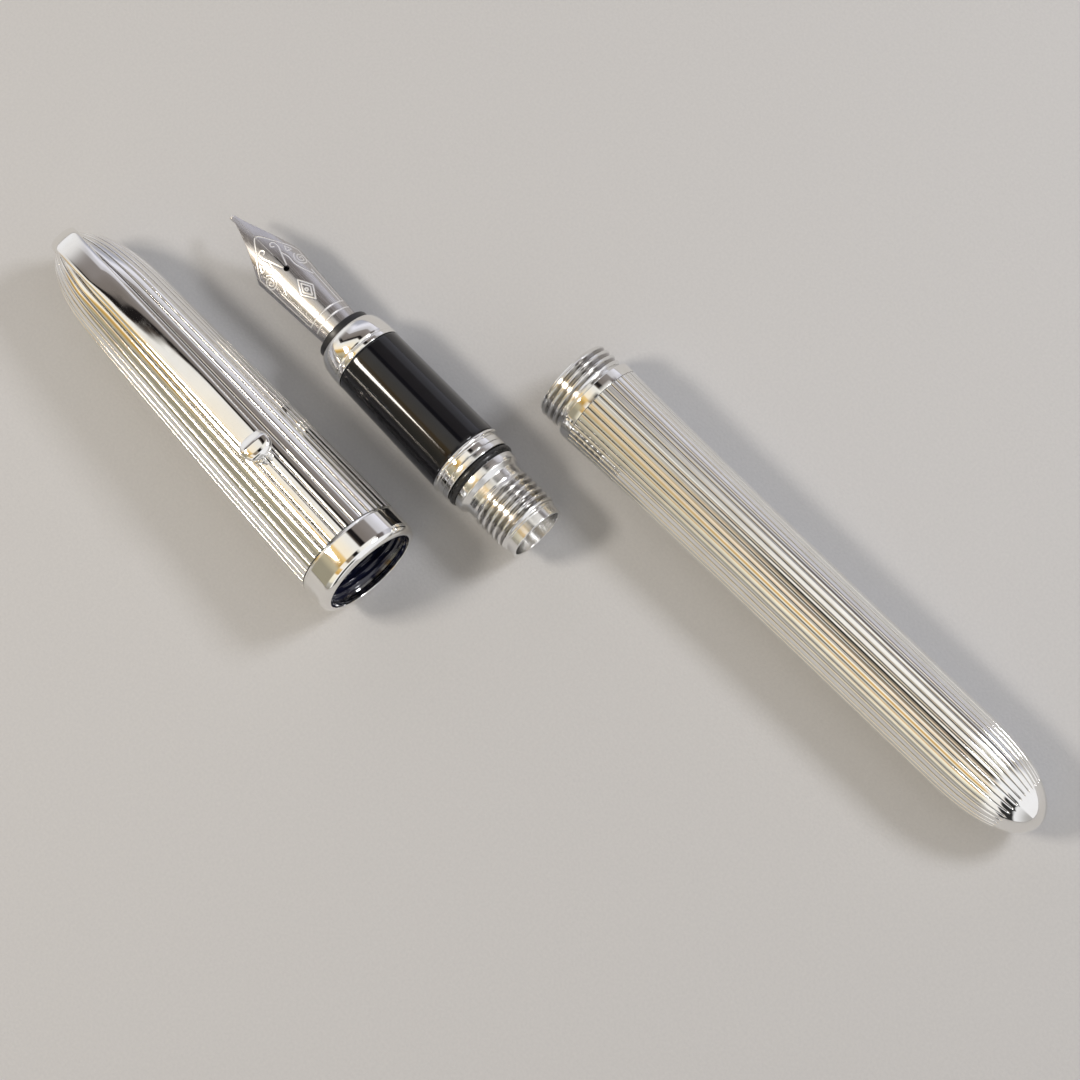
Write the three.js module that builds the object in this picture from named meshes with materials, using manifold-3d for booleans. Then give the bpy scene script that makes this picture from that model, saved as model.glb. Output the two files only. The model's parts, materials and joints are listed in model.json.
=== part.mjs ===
// A screw-cap fountain pen, taken apart: the cap, the grip section with its nib, and the barrel lie
// side by side on a table, and a piston converter is stored inside the barrel.
// Millimetres, +Z up. The table is z = 0. Each of the three assemblies is built along its own +X
// axis and is then laid on its side. The origin is below the middle of the whole group, on the table.
import * as THREE from "three";
import { mergeVertices } from "three/addons/utils/BufferGeometryUtils.js";
import Module from "manifold-3d";

const wasm = await Module();
wasm.setup();

// ---------------------------------------------------------------- driving dimensions

const FLUTES = 36; // ridges round the cap and round the barrel
const FLUTE_DEPTH = 0.3;
const FLUTE_FADE = { front: 1.5, rear: 0.6 }; // length over which a groove runs out at each end
const SEGMENTS = 24; // flats round a plain turned piece
const FINE_SEGMENTS = 36; // the same for the pieces that show their curve most
const GAP = 0.05; // between pieces that are pressed or screwed together for good

const CAP = {
  length: 66.2, // from the origin, which is just in front of the clip's root, to the mouth
  front: 2.05, // flat front face, which the clip's root bends down over
  domeStart: 0.9, // where the dome's curve would meet the axis
  domeLength: 15.6,
  screwHole: 1.05,
  radius: 8, // at the band
  taper: 0.0205, // fall in radius for each millimetre from the band
  taperGrowth: 0.0002,
  fluteStart: 2.4,
  fluteEnd: 61.7, // the band starts here
  mouthRadius: 6.8,
  lip: 1.3, // depth of the rounded lip
  rim: 0.35, // width of the flat rim that the cap can stand on
};

const BARREL = {
  length: 84.8,
  tailRadius: 5.9,
  frontSwell: 0.55, // extra radius at the band
  swellLength: 20,
  domeLength: 15,
  collarLength: 3.6, // threaded part in front of the band
  collarRadius: 6.08,
  bandStart: 4.25,
  bandEnd: 5.85,
  fluteEnd: 80.9,
  boreRadius: 4.85, // takes the section's thread
  counterbore: 5.25, // takes the section's shoulder
  collarSeat: 5.5, // bore of the sleeve where the collar is pressed in
  collarEnd: 13,
  sleeveBore: 5.15, // behind the collar
  linerBore: 4.55,
  boreEnd: 75.5,
  boreTip: 78.6, // beyond boreEnd the bore narrows to a flat floor
};

// The black inner cap.
const LINER = {
  start: 9.6,
  floor: 11,
  step: 35, // the narrow nib chamber ends here
  chamber: 4.9,
  socket: 5.95, // room for the grip
  threadStart: 56.6, // takes the barrel's collar
  threadEnd: 61.6,
  threadRoot: 6.3,
  end: 65.1,
};

const SECTION = {
  frontRing: 4.45,
  grip: 23.8, // end of the black grip
  rearRing: 25.6,
  flange: 26.45,
  seal: 27.6,
  shoulder: 29.4,
  neck: 30.8,
  neckRadius: 4.5,
  thread: 36.8,
  threadRoot: 4.42,
  threadCrest: 4.74,
  sealSeat: 4.6,
  length: 38.3,
  endRadius: 4.25,
  frontRadius: 5.31,
  rearRadius: 5.56,
  coreRadius: 4.95,
  housingBore: 4, // takes the nib unit
  rearBore: 3.85, // takes the converter
  partition: 15.6, // where the two bores meet
};

const NIB = {
  exposed: 24.15, // tip to the front of the section
  inserted: 10, // hidden in the housing
  thickness: 0.32,
  rearRadius: 3.05,
  shoulderRadius: 4.05,
  halfWidth: 3.85, // at the shoulder
  tipHalfWidth: 0.3,
  tineCurve: 1.35, // above 1, the edges of the tines are hollow
  shoulder: -14.2, // widest place, from the front of the section
  breather: -12.3,
  breatherRadius: 0.42,
  slitWidth: 0.12,
  roll: -7, // degrees that the nib unit is turned about its axis
};

const CLIP = {
  end: 47.6,
  rootWidth: 4.3,
  rootEnd: 0.55, // width of the root's very end, as a share of rootWidth
  rootRounding: 0.05, // share of the strap's length over which that end widens
  width: 3.65,
  waist: 0.45, // share of the strap's length over which it narrows to width
  thickness: 1,
  crown: 0.55, // share of the thickness above the middle of the strap
  keel: 0.45, // share below it
  ballRadius: 2.2,
  ballLength: 3.9,
  ballHeight: 8.75, // of its middle above the cap's axis
};

const CONVERTER = {
  start: 12, // place of its mouth in the barrel
  length: 63,
  tubeRadius: 3.55,
  tubeBore: 2.9,
  tubeEnd: 42,
  ferruleRadius: 3.75,
  ferruleStart: 36,
  ferruleEnd: 48,
  knobStart: 39.5,
  knobRadius: 3.4,
  knobNeck: 2.6,
  knobBore: 1.6,
  pistonFront: 6.6,
  rodRadius: 1.1,
  rodEnd: 44,
};

const FEED = { radius: 2.66, front: -16.4, end: 13.4, finWidth: 0.45 };
const HOUSING = { start: -1.05, end: 13.9, radius: 3.93, lip: 4.14, bore: 3.13 };
const SPIGOT = { start: 14.1, flangeEnd: 15.5, end: 21.4, radius: 1.3, hole: 0.5 };

const THREAD_PITCH = 1;
const KNURLS = 16; // grip grooves round the converter's knob

// Where each assembly lies: the place of its own origin on the table, and its heading and slope in
// degrees. A positive slope lowers the +X end.
const LAYOUT = {
  barrel: { x: 1.4, y: 0, heading: 0.2, slope: 0.54 },
  section: { x: -24.87, y: -17.23, heading: -1.45, slope: -0.73 },
  cap: { x: -64.45, y: -35.25, heading: -2, slope: -1.64 },
};

// ---------------------------------------------------------------- materials

function finish(color, roughness, metalness) {
  return new THREE.MeshStandardMaterial({ color, roughness, metalness });
}

const polishedSilver = finish(0xd9d7d2, 0.12, 1);
const satinSilver = finish(0xc4c3c1, 0.35, 1);
const nibMetal = finish(0xb4b3b6, 0.3, 1);
const hardTip = finish(0xdadada, 0.4, 1);
const brass = finish(0xb6955a, 0.35, 1);
const steel = finish(0x9c9c9e, 0.35, 1);
const blackLacquer = finish(0x050507, 0.08, 0);
const blackPlastic = finish(0x101014, 0.3, 0);
const blackRubber = finish(0x0b0b0c, 0.6, 0);
const clearPlastic = finish(0xdfe8ee, 0.1, 0);

// ---------------------------------------------------------------- shape helpers

// A solid of revolution about +X, from [x, radius] pairs that run either from axis to axis or
// round a closed outline.
function turned(outline, segments = SEGMENTS) {
  const points = outline.map(([x, r]) => new THREE.Vector2(r, x));
  const open = outline[0][1] === 0 && outline.at(-1)[1] === 0;
  if (!open) points.push(points[0].clone());
  if (THREE.ShapeUtils.area(points) < 0) points.reverse();
  return new THREE.LatheGeometry(points, segments).rotateZ(-Math.PI / 2);
}

// A plain tube between two places along the axis.
function tube(start, end, outer, inner) {
  const outline = [
    [start, inner],
    [start, outer],
    [end, outer],
    [end, inner],
  ];
  return turned(outline);
}

// Draws the wall in at every other vertex column, by the depth that holds at each place.
function grooved(geometry, grooves, depthAt) {
  const position = geometry.getAttribute("position");
  for (let i = 0; i < position.count; i++) {
    const y = position.getY(i);
    const z = position.getZ(i);
    const turn = (Math.atan2(y, z) / (2 * Math.PI)) * grooves;
    const inGroove = Math.abs(turn - Math.round(turn)) < 0.25;
    const radius = Math.hypot(y, z);
    const depth = inGroove ? depthAt(position.getX(i), radius) : 0;
    const scale = radius > 0 ? (radius - depth) / radius : 1;
    position.setXYZ(i, position.getX(i), y * scale, z * scale);
  }
  return geometry;
}

// A closed solid through rings of equal point count, with a fan over each end.
function lofted(rings) {
  const count = rings[0].length;
  const points = rings.flat();
  const index = [];
  for (let i = 0; i + 1 < rings.length; i++) {
    for (let j = 0; j < count; j++) {
      const a = i * count + j;
      const b = i * count + ((j + 1) % count);
      index.push(a, b, a + count, b, b + count, a + count);
    }
  }
  [0, rings.length - 1].forEach((ring, atEnd) => {
    const middle = points.length;
    const centre = new THREE.Vector3();
    rings[ring].forEach((p) => centre.addScaledVector(p, 1 / count));
    points.push(centre);
    for (let j = 0; j < count; j++) {
      const a = ring * count + j;
      const b = ring * count + ((j + 1) % count);
      index.push(middle, atEnd ? a : b, atEnd ? b : a);
    }
  });
  const geometry = new THREE.BufferGeometry().setFromPoints(points);
  geometry.setIndex(index);
  return geometry;
}

function toSolid(geometry) {
  const bare = geometry.clone();
  bare.deleteAttribute("normal");
  bare.deleteAttribute("uv");
  const merged = mergeVertices(bare, 1e-4);
  const vertProperties = new Float32Array(merged.getAttribute("position").array);
  const triVerts = new Uint32Array(merged.index.array);
  return new wasm.Manifold(new wasm.Mesh({ numProp: 3, vertProperties, triVerts }));
}

function toGeometry(solid) {
  const mesh = solid.getMesh();
  const geometry = new THREE.BufferGeometry();
  geometry.setAttribute("position", new THREE.BufferAttribute(mesh.vertProperties, 3));
  geometry.setIndex(new THREE.BufferAttribute(mesh.triVerts, 1));
  return geometry;
}

function cut(geometry, ...tools) {
  const solid = tools.reduce((rest, tool) => rest.subtract(toSolid(tool)), toSolid(geometry));
  return toGeometry(solid);
}

function piece(name, geometry, material) {
  const mesh = new THREE.Mesh(geometry, material);
  mesh.name = name;
  return mesh;
}

// Evenly spaced numbers, or ones crowded towards the first when crowded is true.
function stations(from, to, count, crowded = false) {
  return Array.from({ length: count + 1 }, (_, i) => {
    const t = i / count;
    return from + (to - from) * (crowded ? 1 - Math.cos((t * Math.PI) / 2) : t);
  });
}

// Triangular thread ridges along a wall, as [x, radius] pairs. Each ridge starts and ends at root,
// and its crest is in the middle of its turn.
function threadRidges(start, end, root, crest) {
  const flank = 0.3 * THREAD_PITCH;
  const count = Math.floor((end - start) / THREAD_PITCH);
  const middles = Array.from({ length: count }, (_, i) => start + (i + 0.5) * THREAD_PITCH);
  return middles.flatMap((x) => [
    [x - flank, root],
    [x, crest],
    [x + flank, root],
  ]);
}

// ---------------------------------------------------------------- outer profiles

// 0 at the tip of a dome and 1 at its full length.
function domeFactor(distance, length) {
  const t = Math.min(distance / length, 1);
  return Math.sqrt(1 - (1 - t) ** 2.6);
}

function capRadius(x) {
  const fromBand = Math.max(CAP.fluteEnd - x, 0);
  const wall = CAP.radius - CAP.taper * fromBand - CAP.taperGrowth * fromBand ** 2;
  return wall * domeFactor(x - CAP.domeStart, CAP.domeLength);
}

function barrelRadius(x) {
  const swell = BARREL.frontSwell * Math.exp((BARREL.bandStart - x) / BARREL.swellLength);
  return (BARREL.tailRadius + swell) * domeFactor(BARREL.length - x, BARREL.domeLength);
}

// Grooves fade out over a short run at both ends of a fluted stretch, and stay off the bore.
function fluteDepth(start, end, radiusAt) {
  return (x, radius) => {
    if (radius < radiusAt(x) - 0.01) return 0;
    const share = Math.min((x - start) / FLUTE_FADE.front, (end - x) / FLUTE_FADE.rear, 1);
    return FLUTE_DEPTH * Math.max(share, 0);
  };
}

// ---------------------------------------------------------------- cap

function capShell() {
  const wall = [
    ...stations(CAP.front, 24, 8, true),
    ...stations(42, CAP.fluteEnd - 0.6, 1),
    CAP.fluteEnd,
  ];
  const outline = [
    [4.2, CAP.screwHole],
    [CAP.front, CAP.screwHole],
    ...wall.map((x) => [x, capRadius(x)]),
    [CAP.fluteEnd, 7],
    [35, 6.39],
    [22, 6.1],
    [9.2, 5.1],
    [8.4, 4.4],
    [4.2, 3],
  ];
  const depth = fluteDepth(CAP.fluteStart, CAP.fluteEnd + 0.3, capRadius);
  return grooved(turned(outline, 2 * FLUTES), FLUTES, depth);
}

function capBand() {
  const start = CAP.fluteEnd + GAP;
  const lipStart = CAP.length - CAP.lip;
  const lip = stations(0, 90, 4).map((degrees) => {
    const turn = THREE.MathUtils.degToRad(degrees);
    const rimRadius = CAP.mouthRadius + CAP.rim;
    const reach = CAP.radius - rimRadius;
    return [lipStart + CAP.lip * Math.sin(turn), rimRadius + reach * Math.cos(turn)];
  });
  const outline = [
    [start, 7.02],
    [start, CAP.radius - 0.12],
    [start + 0.15, CAP.radius],
    ...lip,
    [CAP.length, CAP.mouthRadius],
    [65.4, CAP.mouthRadius],
    [65.2, 7.02],
  ];
  return turned(outline, FINE_SEGMENTS);
}

// The black inner cap: a chamber for the nib, a step that seals on the section's front ring, and
// the internal thread that takes the barrel's collar.
function capLiner() {
  const { start, floor, step, chamber, socket, threadStart, threadEnd, threadRoot, end } = LINER;
  const outline = [
    [start, 0],
    [start, 4.6],
    [22, 6.02],
    [step, 6.31],
    [61, 6.9],
    [end, 6.9],
    [end, 6.6],
    [threadEnd + 0.1, 6.5],
    ...threadRidges(threadStart, threadEnd, threadRoot, socket).reverse(),
    [threadStart - 0.2, socket],
    [step, socket],
    [step - 0.6, chamber],
    [20, chamber],
    [floor, 4.1],
    [floor, 0],
  ];
  return turned(outline);
}

function clipScrew() {
  const outline = [
    [CAP.front, 0],
    [CAP.front, CAP.screwHole - 0.1],
    [4.3, CAP.screwHole - 0.1],
    [4.3, 2.1],
    [5.3, 2.1],
    [5.6, 1.8],
    [5.6, 0],
  ];
  const slot = new THREE.BoxGeometry(1, 0.5, 6).translate(5.6, 0, 0);
  return cut(turned(outline), slot);
}

// ---------------------------------------------------------------- clip

// A ring of points round a strap's section: flat below, crowned above, in the plane that is
// square to the direction in which the strap runs.
function strapSection(centre, direction, width, thickness) {
  const up = new THREE.Vector3(-direction.z, 0, direction.x);
  const crown = stations(0, 180, 6).map((degrees) => {
    const turn = THREE.MathUtils.degToRad(degrees);
    return [(width / 2) * Math.cos(turn), CLIP.crown * thickness * Math.sin(turn) ** 0.8];
  });
  const keel = -CLIP.keel * thickness;
  const bevel = 0.35;
  const under = [
    [-width / 2, keel + 0.15],
    [-width / 2 + bevel, keel],
    [width / 2 - bevel, keel],
    [width / 2, keel + 0.15],
  ];
  return [...crown, ...under].map(([y, lift]) => {
    return new THREE.Vector3(centre.x, y, centre.z).addScaledVector(up, lift);
  });
}

// The middle of the strap, as [x, z] pairs: in front of the cap's flat face, over the dome, and
// then straight to the ball.
function clipPath() {
  const places = [
    [1.45, -1.5],
    [1.42, 0.8],
    [1.6, 2.6],
    [2.3, 3.85],
    [3.7, 5.02],
    [6.6, 6.25],
    [11, 7.25],
    [18, 7.9],
    [30, 8.5],
    [CLIP.end - CLIP.ballLength - 0.1, 8.85],
  ];
  return new THREE.CatmullRomCurve3(places.map(([x, z]) => new THREE.Vector3(x, 0, z)));
}

function clipStrap() {
  const path = clipPath();
  const count = 18;
  const rings = stations(0, 1, count).map((t) => {
    const direction = path.getTangent(t);
    const taper = Math.min(t / CLIP.waist, 1);
    const width = THREE.MathUtils.lerp(CLIP.rootWidth, CLIP.width, taper);
    const roundedEnd = Math.min(CLIP.rootEnd + t / CLIP.rootRounding, 1);
    return strapSection(path.getPoint(t), direction, width * roundedEnd, CLIP.thickness);
  });
  return lofted(rings);
}

// The teardrop at the clip's free end. A small flat below it rides on the cap.
function clipBall() {
  const start = CLIP.end - CLIP.ballLength;
  const rings = stations(4, 176, 9).map((degrees) => {
    const turn = THREE.MathUtils.degToRad(degrees);
    const x = THREE.MathUtils.lerp(start, CLIP.end, (1 - Math.cos(turn)) / 2);
    const swell = Math.sin(turn) ** 0.8;
    return stations(0, 330, 11).map((around) => {
      const angle = THREE.MathUtils.degToRad(around);
      const halfWidth = CLIP.ballRadius * swell * Math.cos(angle);
      const lift = swell * Math.max(Math.sin(angle) * 1.25, -1.05);
      return new THREE.Vector3(x, halfWidth, CLIP.ballHeight + lift);
    });
  });
  return lofted(rings);
}

// ---------------------------------------------------------------- section

function frontRing() {
  const length = SECTION.frontRing - GAP;
  const lip = 4.25;
  const reach = SECTION.frontRadius - lip;
  const dome = stations(0, 90, 5).map((degrees) => {
    const turn = THREE.MathUtils.degToRad(degrees);
    return [3.4 * (1 - Math.cos(turn)), lip + reach * Math.sin(turn)];
  });
  const outline = [
    [0, SECTION.housingBore],
    ...dome,
    [3.6, 5.18],
    [3.8, 5.38],
    [length, 5.38],
    [length, SECTION.housingBore],
  ];
  return turned(outline, FINE_SEGMENTS);
}

function gripSleeve() {
  const outline = [
    [SECTION.frontRing, SECTION.coreRadius + GAP],
    [SECTION.frontRing, SECTION.frontRadius],
    [SECTION.grip - GAP, SECTION.rearRadius],
    [SECTION.grip - GAP, SECTION.coreRadius + GAP],
  ];
  return turned(outline, FINE_SEGMENTS);
}

function rearRing() {
  const bore = SECTION.coreRadius + GAP;
  const end = SECTION.rearRing - GAP;
  const outline = [
    [SECTION.grip, bore],
    [SECTION.grip, 5.5],
    [SECTION.grip + 0.3, 5.74],
    [SECTION.grip + 0.6, 5.5],
    [SECTION.grip + 0.75, 5.42],
    [end, 5.42],
    [end, bore],
  ];
  return turned(outline);
}

// The metal tube that runs the whole length of the section and ends in the barrel thread.
function sectionCore() {
  const outline = [
    [SECTION.frontRing + GAP, SECTION.housingBore],
    [SECTION.frontRing + GAP, SECTION.coreRadius],
    [SECTION.rearRing, SECTION.coreRadius],
    [SECTION.rearRing, 5.47],
    [SECTION.flange, 5.47],
    [SECTION.flange, SECTION.sealSeat],
    [SECTION.seal, SECTION.sealSeat],
    [SECTION.seal, 5.14],
    [SECTION.shoulder - 0.6, 5.14],
    [SECTION.shoulder, SECTION.neckRadius],
    [SECTION.neck, SECTION.neckRadius],
    ...threadRidges(SECTION.neck, SECTION.thread, SECTION.threadRoot, SECTION.threadCrest),
    [SECTION.thread, SECTION.endRadius],
    [SECTION.length, SECTION.endRadius],
    [SECTION.length, SECTION.rearBore],
    [SECTION.partition, SECTION.rearBore],
    [SECTION.partition, SECTION.housingBore],
  ];
  return turned(outline);
}

function sealRing() {
  const halfWidth = (SECTION.seal - SECTION.flange) / 2 - GAP;
  const middle = (SECTION.seal + SECTION.flange) / 2;
  const thickness = 0.8;
  const ringRadius = SECTION.sealSeat + GAP + thickness / 2;
  const outline = stations(0, 315, 7).map((degrees) => {
    const turn = THREE.MathUtils.degToRad(degrees);
    return [middle + halfWidth * Math.cos(turn), ringRadius + (thickness / 2) * Math.sin(turn)];
  });
  return turned(outline);
}

// The spigot that the converter's mouth pushes onto, with the ink hole through it.
function inkSpigot() {
  const { start, flangeEnd, end, radius, hole } = SPIGOT;
  const flangeRadius = SECTION.housingBore - 0.07;
  const outline = [
    [start, hole],
    [start, flangeRadius],
    [flangeEnd, flangeRadius],
    [flangeEnd, radius],
    [end - 0.4, radius - 0.15],
    [end, radius - 0.45],
    [end, hole],
  ];
  return turned(outline);
}

// ---------------------------------------------------------------- nib unit

// Half the nib's width as an angle round its own curved wall, and the radius of that wall.
function nibWall(x) {
  const fromTip = x + NIB.exposed;
  const toShoulder = NIB.shoulder + NIB.exposed;
  const front = THREE.MathUtils.clamp(fromTip / toShoulder, 0, 1);
  const rear = THREE.MathUtils.clamp((x - NIB.shoulder) / -NIB.shoulder, 0, 1);
  const radius = THREE.MathUtils.lerp(NIB.shoulderRadius, NIB.rearRadius, rear);
  const tine = THREE.MathUtils.lerp(NIB.tipHalfWidth, NIB.halfWidth, front ** NIB.tineCurve);
  const halfWidth = tine - 0.85 * rear;
  return { radius, angle: Math.asin(Math.min(halfWidth / radius, 0.99)) };
}

// The tines bend down towards the tip.
function tipDrop(x) {
  return 1.6 * (1 - Math.min((x + NIB.exposed) / 12, 1)) ** 2;
}

function nib() {
  const tines = stations(-NIB.exposed + 0.4, NIB.shoulder, 8);
  const body = stations(NIB.shoulder + 2.2, NIB.inserted, 6);
  const places = [...tines, ...body];
  const rings = places.map((x) => {
    const { radius, angle } = nibWall(x);
    const drop = tipDrop(x);
    const arc = (r, from, to) =>
      stations(from, to, 8).map((turn) => {
        const height = NIB.rearRadius - radius - drop;
        return new THREE.Vector3(x, r * Math.sin(turn), height + r * Math.cos(turn));
      });
    return [...arc(radius, angle, -angle), ...arc(radius - NIB.thickness, -angle, angle)];
  });
  const { breatherRadius } = NIB;
  const breather = new THREE.CylinderGeometry(breatherRadius, breatherRadius, 4, 16);
  breather.rotateX(Math.PI / 2);
  breather.translate(NIB.breather, 0, NIB.rearRadius);
  const slitLength = NIB.breather + NIB.exposed + 1;
  const slit = new THREE.BoxGeometry(slitLength, NIB.slitWidth, 6);
  slit.translate(NIB.breather - slitLength / 2, 0, NIB.rearRadius - 1);
  return cut(lofted(rings), breather, slit);
}

// The hard writing point under the two tines.
function nibPoint() {
  const radius = 0.5;
  const tip = new THREE.SphereGeometry(radius, 12, 8).scale(1.3, 0.8, 0.8);
  return tip.translate(-NIB.exposed + 0.1, 0, NIB.rearRadius - 2.4);
}

// The ink feed under the nib: a finned round bar that narrows under the tines.
function feed() {
  const outline = [
    [FEED.front, 0],
    [FEED.front, 0.5],
    [-14, 1.6],
    [-11, 2.4],
    [-8.5, FEED.radius],
    [FEED.end, FEED.radius],
    [FEED.end, 0],
  ];
  const fins = stations(-10.5, -2.5, 8).map((x) => {
    return new THREE.BoxGeometry(FEED.finWidth, 8, 2.4).translate(x, 0, -2.5);
  });
  const channel = new THREE.BoxGeometry(40, 0.5, 1).translate(0, 0, FEED.radius);
  const underTines = new THREE.BoxGeometry(10, 8, 4).rotateY(0.2).translate(FEED.front, 0, 2.9);
  return cut(turned(outline), ...fins, channel, underTines);
}

function feedHousing() {
  const { start, end, radius, lip, bore } = HOUSING;
  const outline = [
    [start, bore],
    [start, lip - 0.2],
    [start + 0.25, lip],
    [-GAP, lip],
    [-GAP, radius],
    [end, radius],
    [end, bore],
  ];
  return turned(outline);
}

// ---------------------------------------------------------------- barrel

function barrelSleeve() {
  const { bandEnd, collarSeat, collarEnd, sleeveBore, boreEnd, boreTip, length } = BARREL;
  const start = bandEnd + GAP;
  const wall = [
    start,
    ...stations(bandEnd + 0.7, 60, 2),
    ...stations(length, 69, 7, true).reverse(),
  ];
  const outline = [
    [boreTip, 0],
    [boreTip, 3.6],
    [boreEnd, sleeveBore],
    [collarEnd + 0.2, sleeveBore],
    [collarEnd + 0.2, collarSeat],
    [start, collarSeat],
    ...wall.map((x) => [x, barrelRadius(x)]),
  ];
  const depth = fluteDepth(bandEnd, BARREL.fluteEnd, barrelRadius);
  return grooved(turned(outline, 2 * FLUTES), FLUTES, depth);
}

function barrelBand() {
  const radius = barrelRadius(BARREL.bandStart);
  const outline = [
    [BARREL.bandStart, BARREL.collarSeat],
    [BARREL.bandStart, radius - 0.15],
    [BARREL.bandStart + 0.15, radius],
    [BARREL.bandEnd, radius],
    [BARREL.bandEnd, BARREL.collarSeat],
  ];
  return turned(outline, FINE_SEGMENTS);
}

// The threaded insert: its outside takes the cap and its inside takes the section.
function barrelCollar() {
  const { collarLength, collarRadius, collarSeat, collarEnd, boreRadius, counterbore } = BARREL;
  const outline = [
    [0, counterbore],
    [0, 5.65], // flat front face
    ...threadRidges(0, collarLength, collarRadius - 0.3, collarRadius),
    [collarLength, collarSeat - GAP],
    [collarEnd, collarSeat - GAP],
    [collarEnd, boreRadius],
    [3.2, boreRadius],
    [3, counterbore],
  ];
  return turned(outline);
}

// The brass tube that the converter lies in.
function barrelLiner() {
  const { collarEnd, boreEnd, sleeveBore, linerBore } = BARREL;
  return tube(collarEnd + GAP, boreEnd - 0.5, sleeveBore - GAP, linerBore);
}

// ---------------------------------------------------------------- converter

function converterMouth() {
  const outline = [
    [0, 1.35],
    [0, 2.7],
    [0.4, 3],
    [1.8, 3],
    [1.8, CONVERTER.tubeBore - GAP],
    [6, CONVERTER.tubeBore - GAP],
    [6, 1.35],
  ];
  return turned(outline);
}

function converterTube() {
  return tube(1.8 + GAP, CONVERTER.tubeEnd, CONVERTER.tubeRadius, CONVERTER.tubeBore);
}

function converterFerrule() {
  const { ferruleStart, ferruleEnd, ferruleRadius, tubeRadius, tubeEnd } = CONVERTER;
  const outline = [
    [ferruleStart, tubeRadius + GAP],
    [ferruleStart, ferruleRadius],
    [ferruleEnd, ferruleRadius],
    [ferruleEnd, 2.75],
    [tubeEnd + GAP, 2.75],
    [tubeEnd + GAP, tubeRadius + GAP],
  ];
  return turned(outline);
}

function converterKnob() {
  const { ferruleEnd, length, knobStart, knobRadius, knobNeck, knobBore } = CONVERTER;
  const floor = length - 1.5;
  const outline = [
    [floor, 0],
    [floor, knobBore],
    [knobStart, knobBore],
    [knobStart, knobNeck],
    [ferruleEnd + 0.3, knobNeck],
    [ferruleEnd + 0.3, knobRadius - 0.3],
    [ferruleEnd + 0.6, knobRadius],
    [length - 1, knobRadius],
    [length, knobRadius - 0.9],
    [length, 0],
  ];
  const knurled = (x, radius) => radius > knobRadius - 0.4 && x > ferruleEnd + 1.5 && x < floor;
  const depth = (x, radius) => (knurled(x, radius) ? 0.15 : 0);
  return grooved(turned(outline, 2 * KNURLS), KNURLS, depth);
}

// The threaded bush in the knob that drives the piston rod.
function driveBush() {
  const { knobStart, knobBore, rodRadius } = CONVERTER;
  return tube(knobStart + 0.5, knobStart + 3.5, knobBore - GAP, rodRadius + 0.14);
}

function pistonRod() {
  const front = CONVERTER.pistonFront + 2.6;
  const outline = [
    [front, 0],
    [front, 1.9],
    [front + 2, 1.9],
    [front + 2, CONVERTER.rodRadius],
    [CONVERTER.rodEnd, CONVERTER.rodRadius],
    [CONVERTER.rodEnd, 0],
  ];
  return turned(outline);
}

function pistonSeal() {
  const front = CONVERTER.pistonFront;
  const radius = CONVERTER.tubeBore - GAP;
  const outline = [
    [front, 0],
    [front, 2],
    [front + 0.5, radius],
    [front + 1.2, radius],
    [front + 1.5, 2.4],
    [front + 3.2, 2.4],
    [front + 3.5, radius],
    [front + 4.4, radius],
    [front + 4.4, 1.95],
    [front + 2.55, 1.95],
    [front + 2.55, 0],
  ];
  return turned(outline);
}

// ---------------------------------------------------------------- assemblies

function capAssembly() {
  return new THREE.Group().add(
    piece("cap_shell", capShell(), polishedSilver),
    piece("cap_band", capBand(), polishedSilver),
    piece("cap_liner", capLiner(), blackPlastic),
    piece("clip_screw", clipScrew(), steel),
    piece("clip_strap", clipStrap(), polishedSilver),
    piece("clip_ball", clipBall(), polishedSilver),
  );
}

function nibUnit() {
  const unit = new THREE.Group();
  unit.add(
    piece("nib", nib(), nibMetal),
    piece("nib_point", nibPoint(), hardTip),
    piece("feed", feed(), blackPlastic),
    piece("feed_housing", feedHousing(), blackPlastic),
  );
  unit.rotation.x = THREE.MathUtils.degToRad(NIB.roll);
  return unit;
}

function sectionAssembly() {
  return new THREE.Group().add(
    piece("section_front_ring", frontRing(), polishedSilver),
    piece("grip_sleeve", gripSleeve(), blackLacquer),
    piece("section_rear_ring", rearRing(), polishedSilver),
    piece("section_core", sectionCore(), satinSilver),
    piece("seal_ring", sealRing(), blackRubber),
    piece("ink_spigot", inkSpigot(), blackPlastic),
    nibUnit(),
  );
}

function converterAssembly() {
  const converter = new THREE.Group();
  converter.add(
    piece("converter_mouth", converterMouth(), blackPlastic),
    piece("converter_tube", converterTube(), clearPlastic),
    piece("converter_ferrule", converterFerrule(), satinSilver),
    piece("converter_knob", converterKnob(), blackPlastic),
    piece("drive_bush", driveBush(), brass),
    piece("piston_rod", pistonRod(), blackPlastic),
    piece("piston_seal", pistonSeal(), blackRubber),
  );
  const drop = BARREL.linerBore - CONVERTER.ferruleRadius - GAP; // down to the liner's floor
  converter.position.set(CONVERTER.start, 0, -drop);
  return converter;
}

function barrelAssembly() {
  return new THREE.Group().add(
    piece("barrel_sleeve", barrelSleeve(), polishedSilver),
    piece("barrel_band", barrelBand(), polishedSilver),
    piece("barrel_collar", barrelCollar(), satinSilver),
    piece("barrel_liner", barrelLiner(), brass),
    converterAssembly(),
  );
}

// ---------------------------------------------------------------- layout on the table

// Turns an assembly to its heading and slope, and lowers it until it rests on the table.
function laid(group, { x, y, heading, slope }) {
  group.rotation.order = "ZYX";
  group.rotation.z = THREE.MathUtils.degToRad(heading);
  group.rotation.y = THREE.MathUtils.degToRad(slope);
  group.position.set(x, y, 0);
  const box = new THREE.Box3().setFromObject(group, true);
  group.position.z = -box.min.z;
  return group;
}

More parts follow.
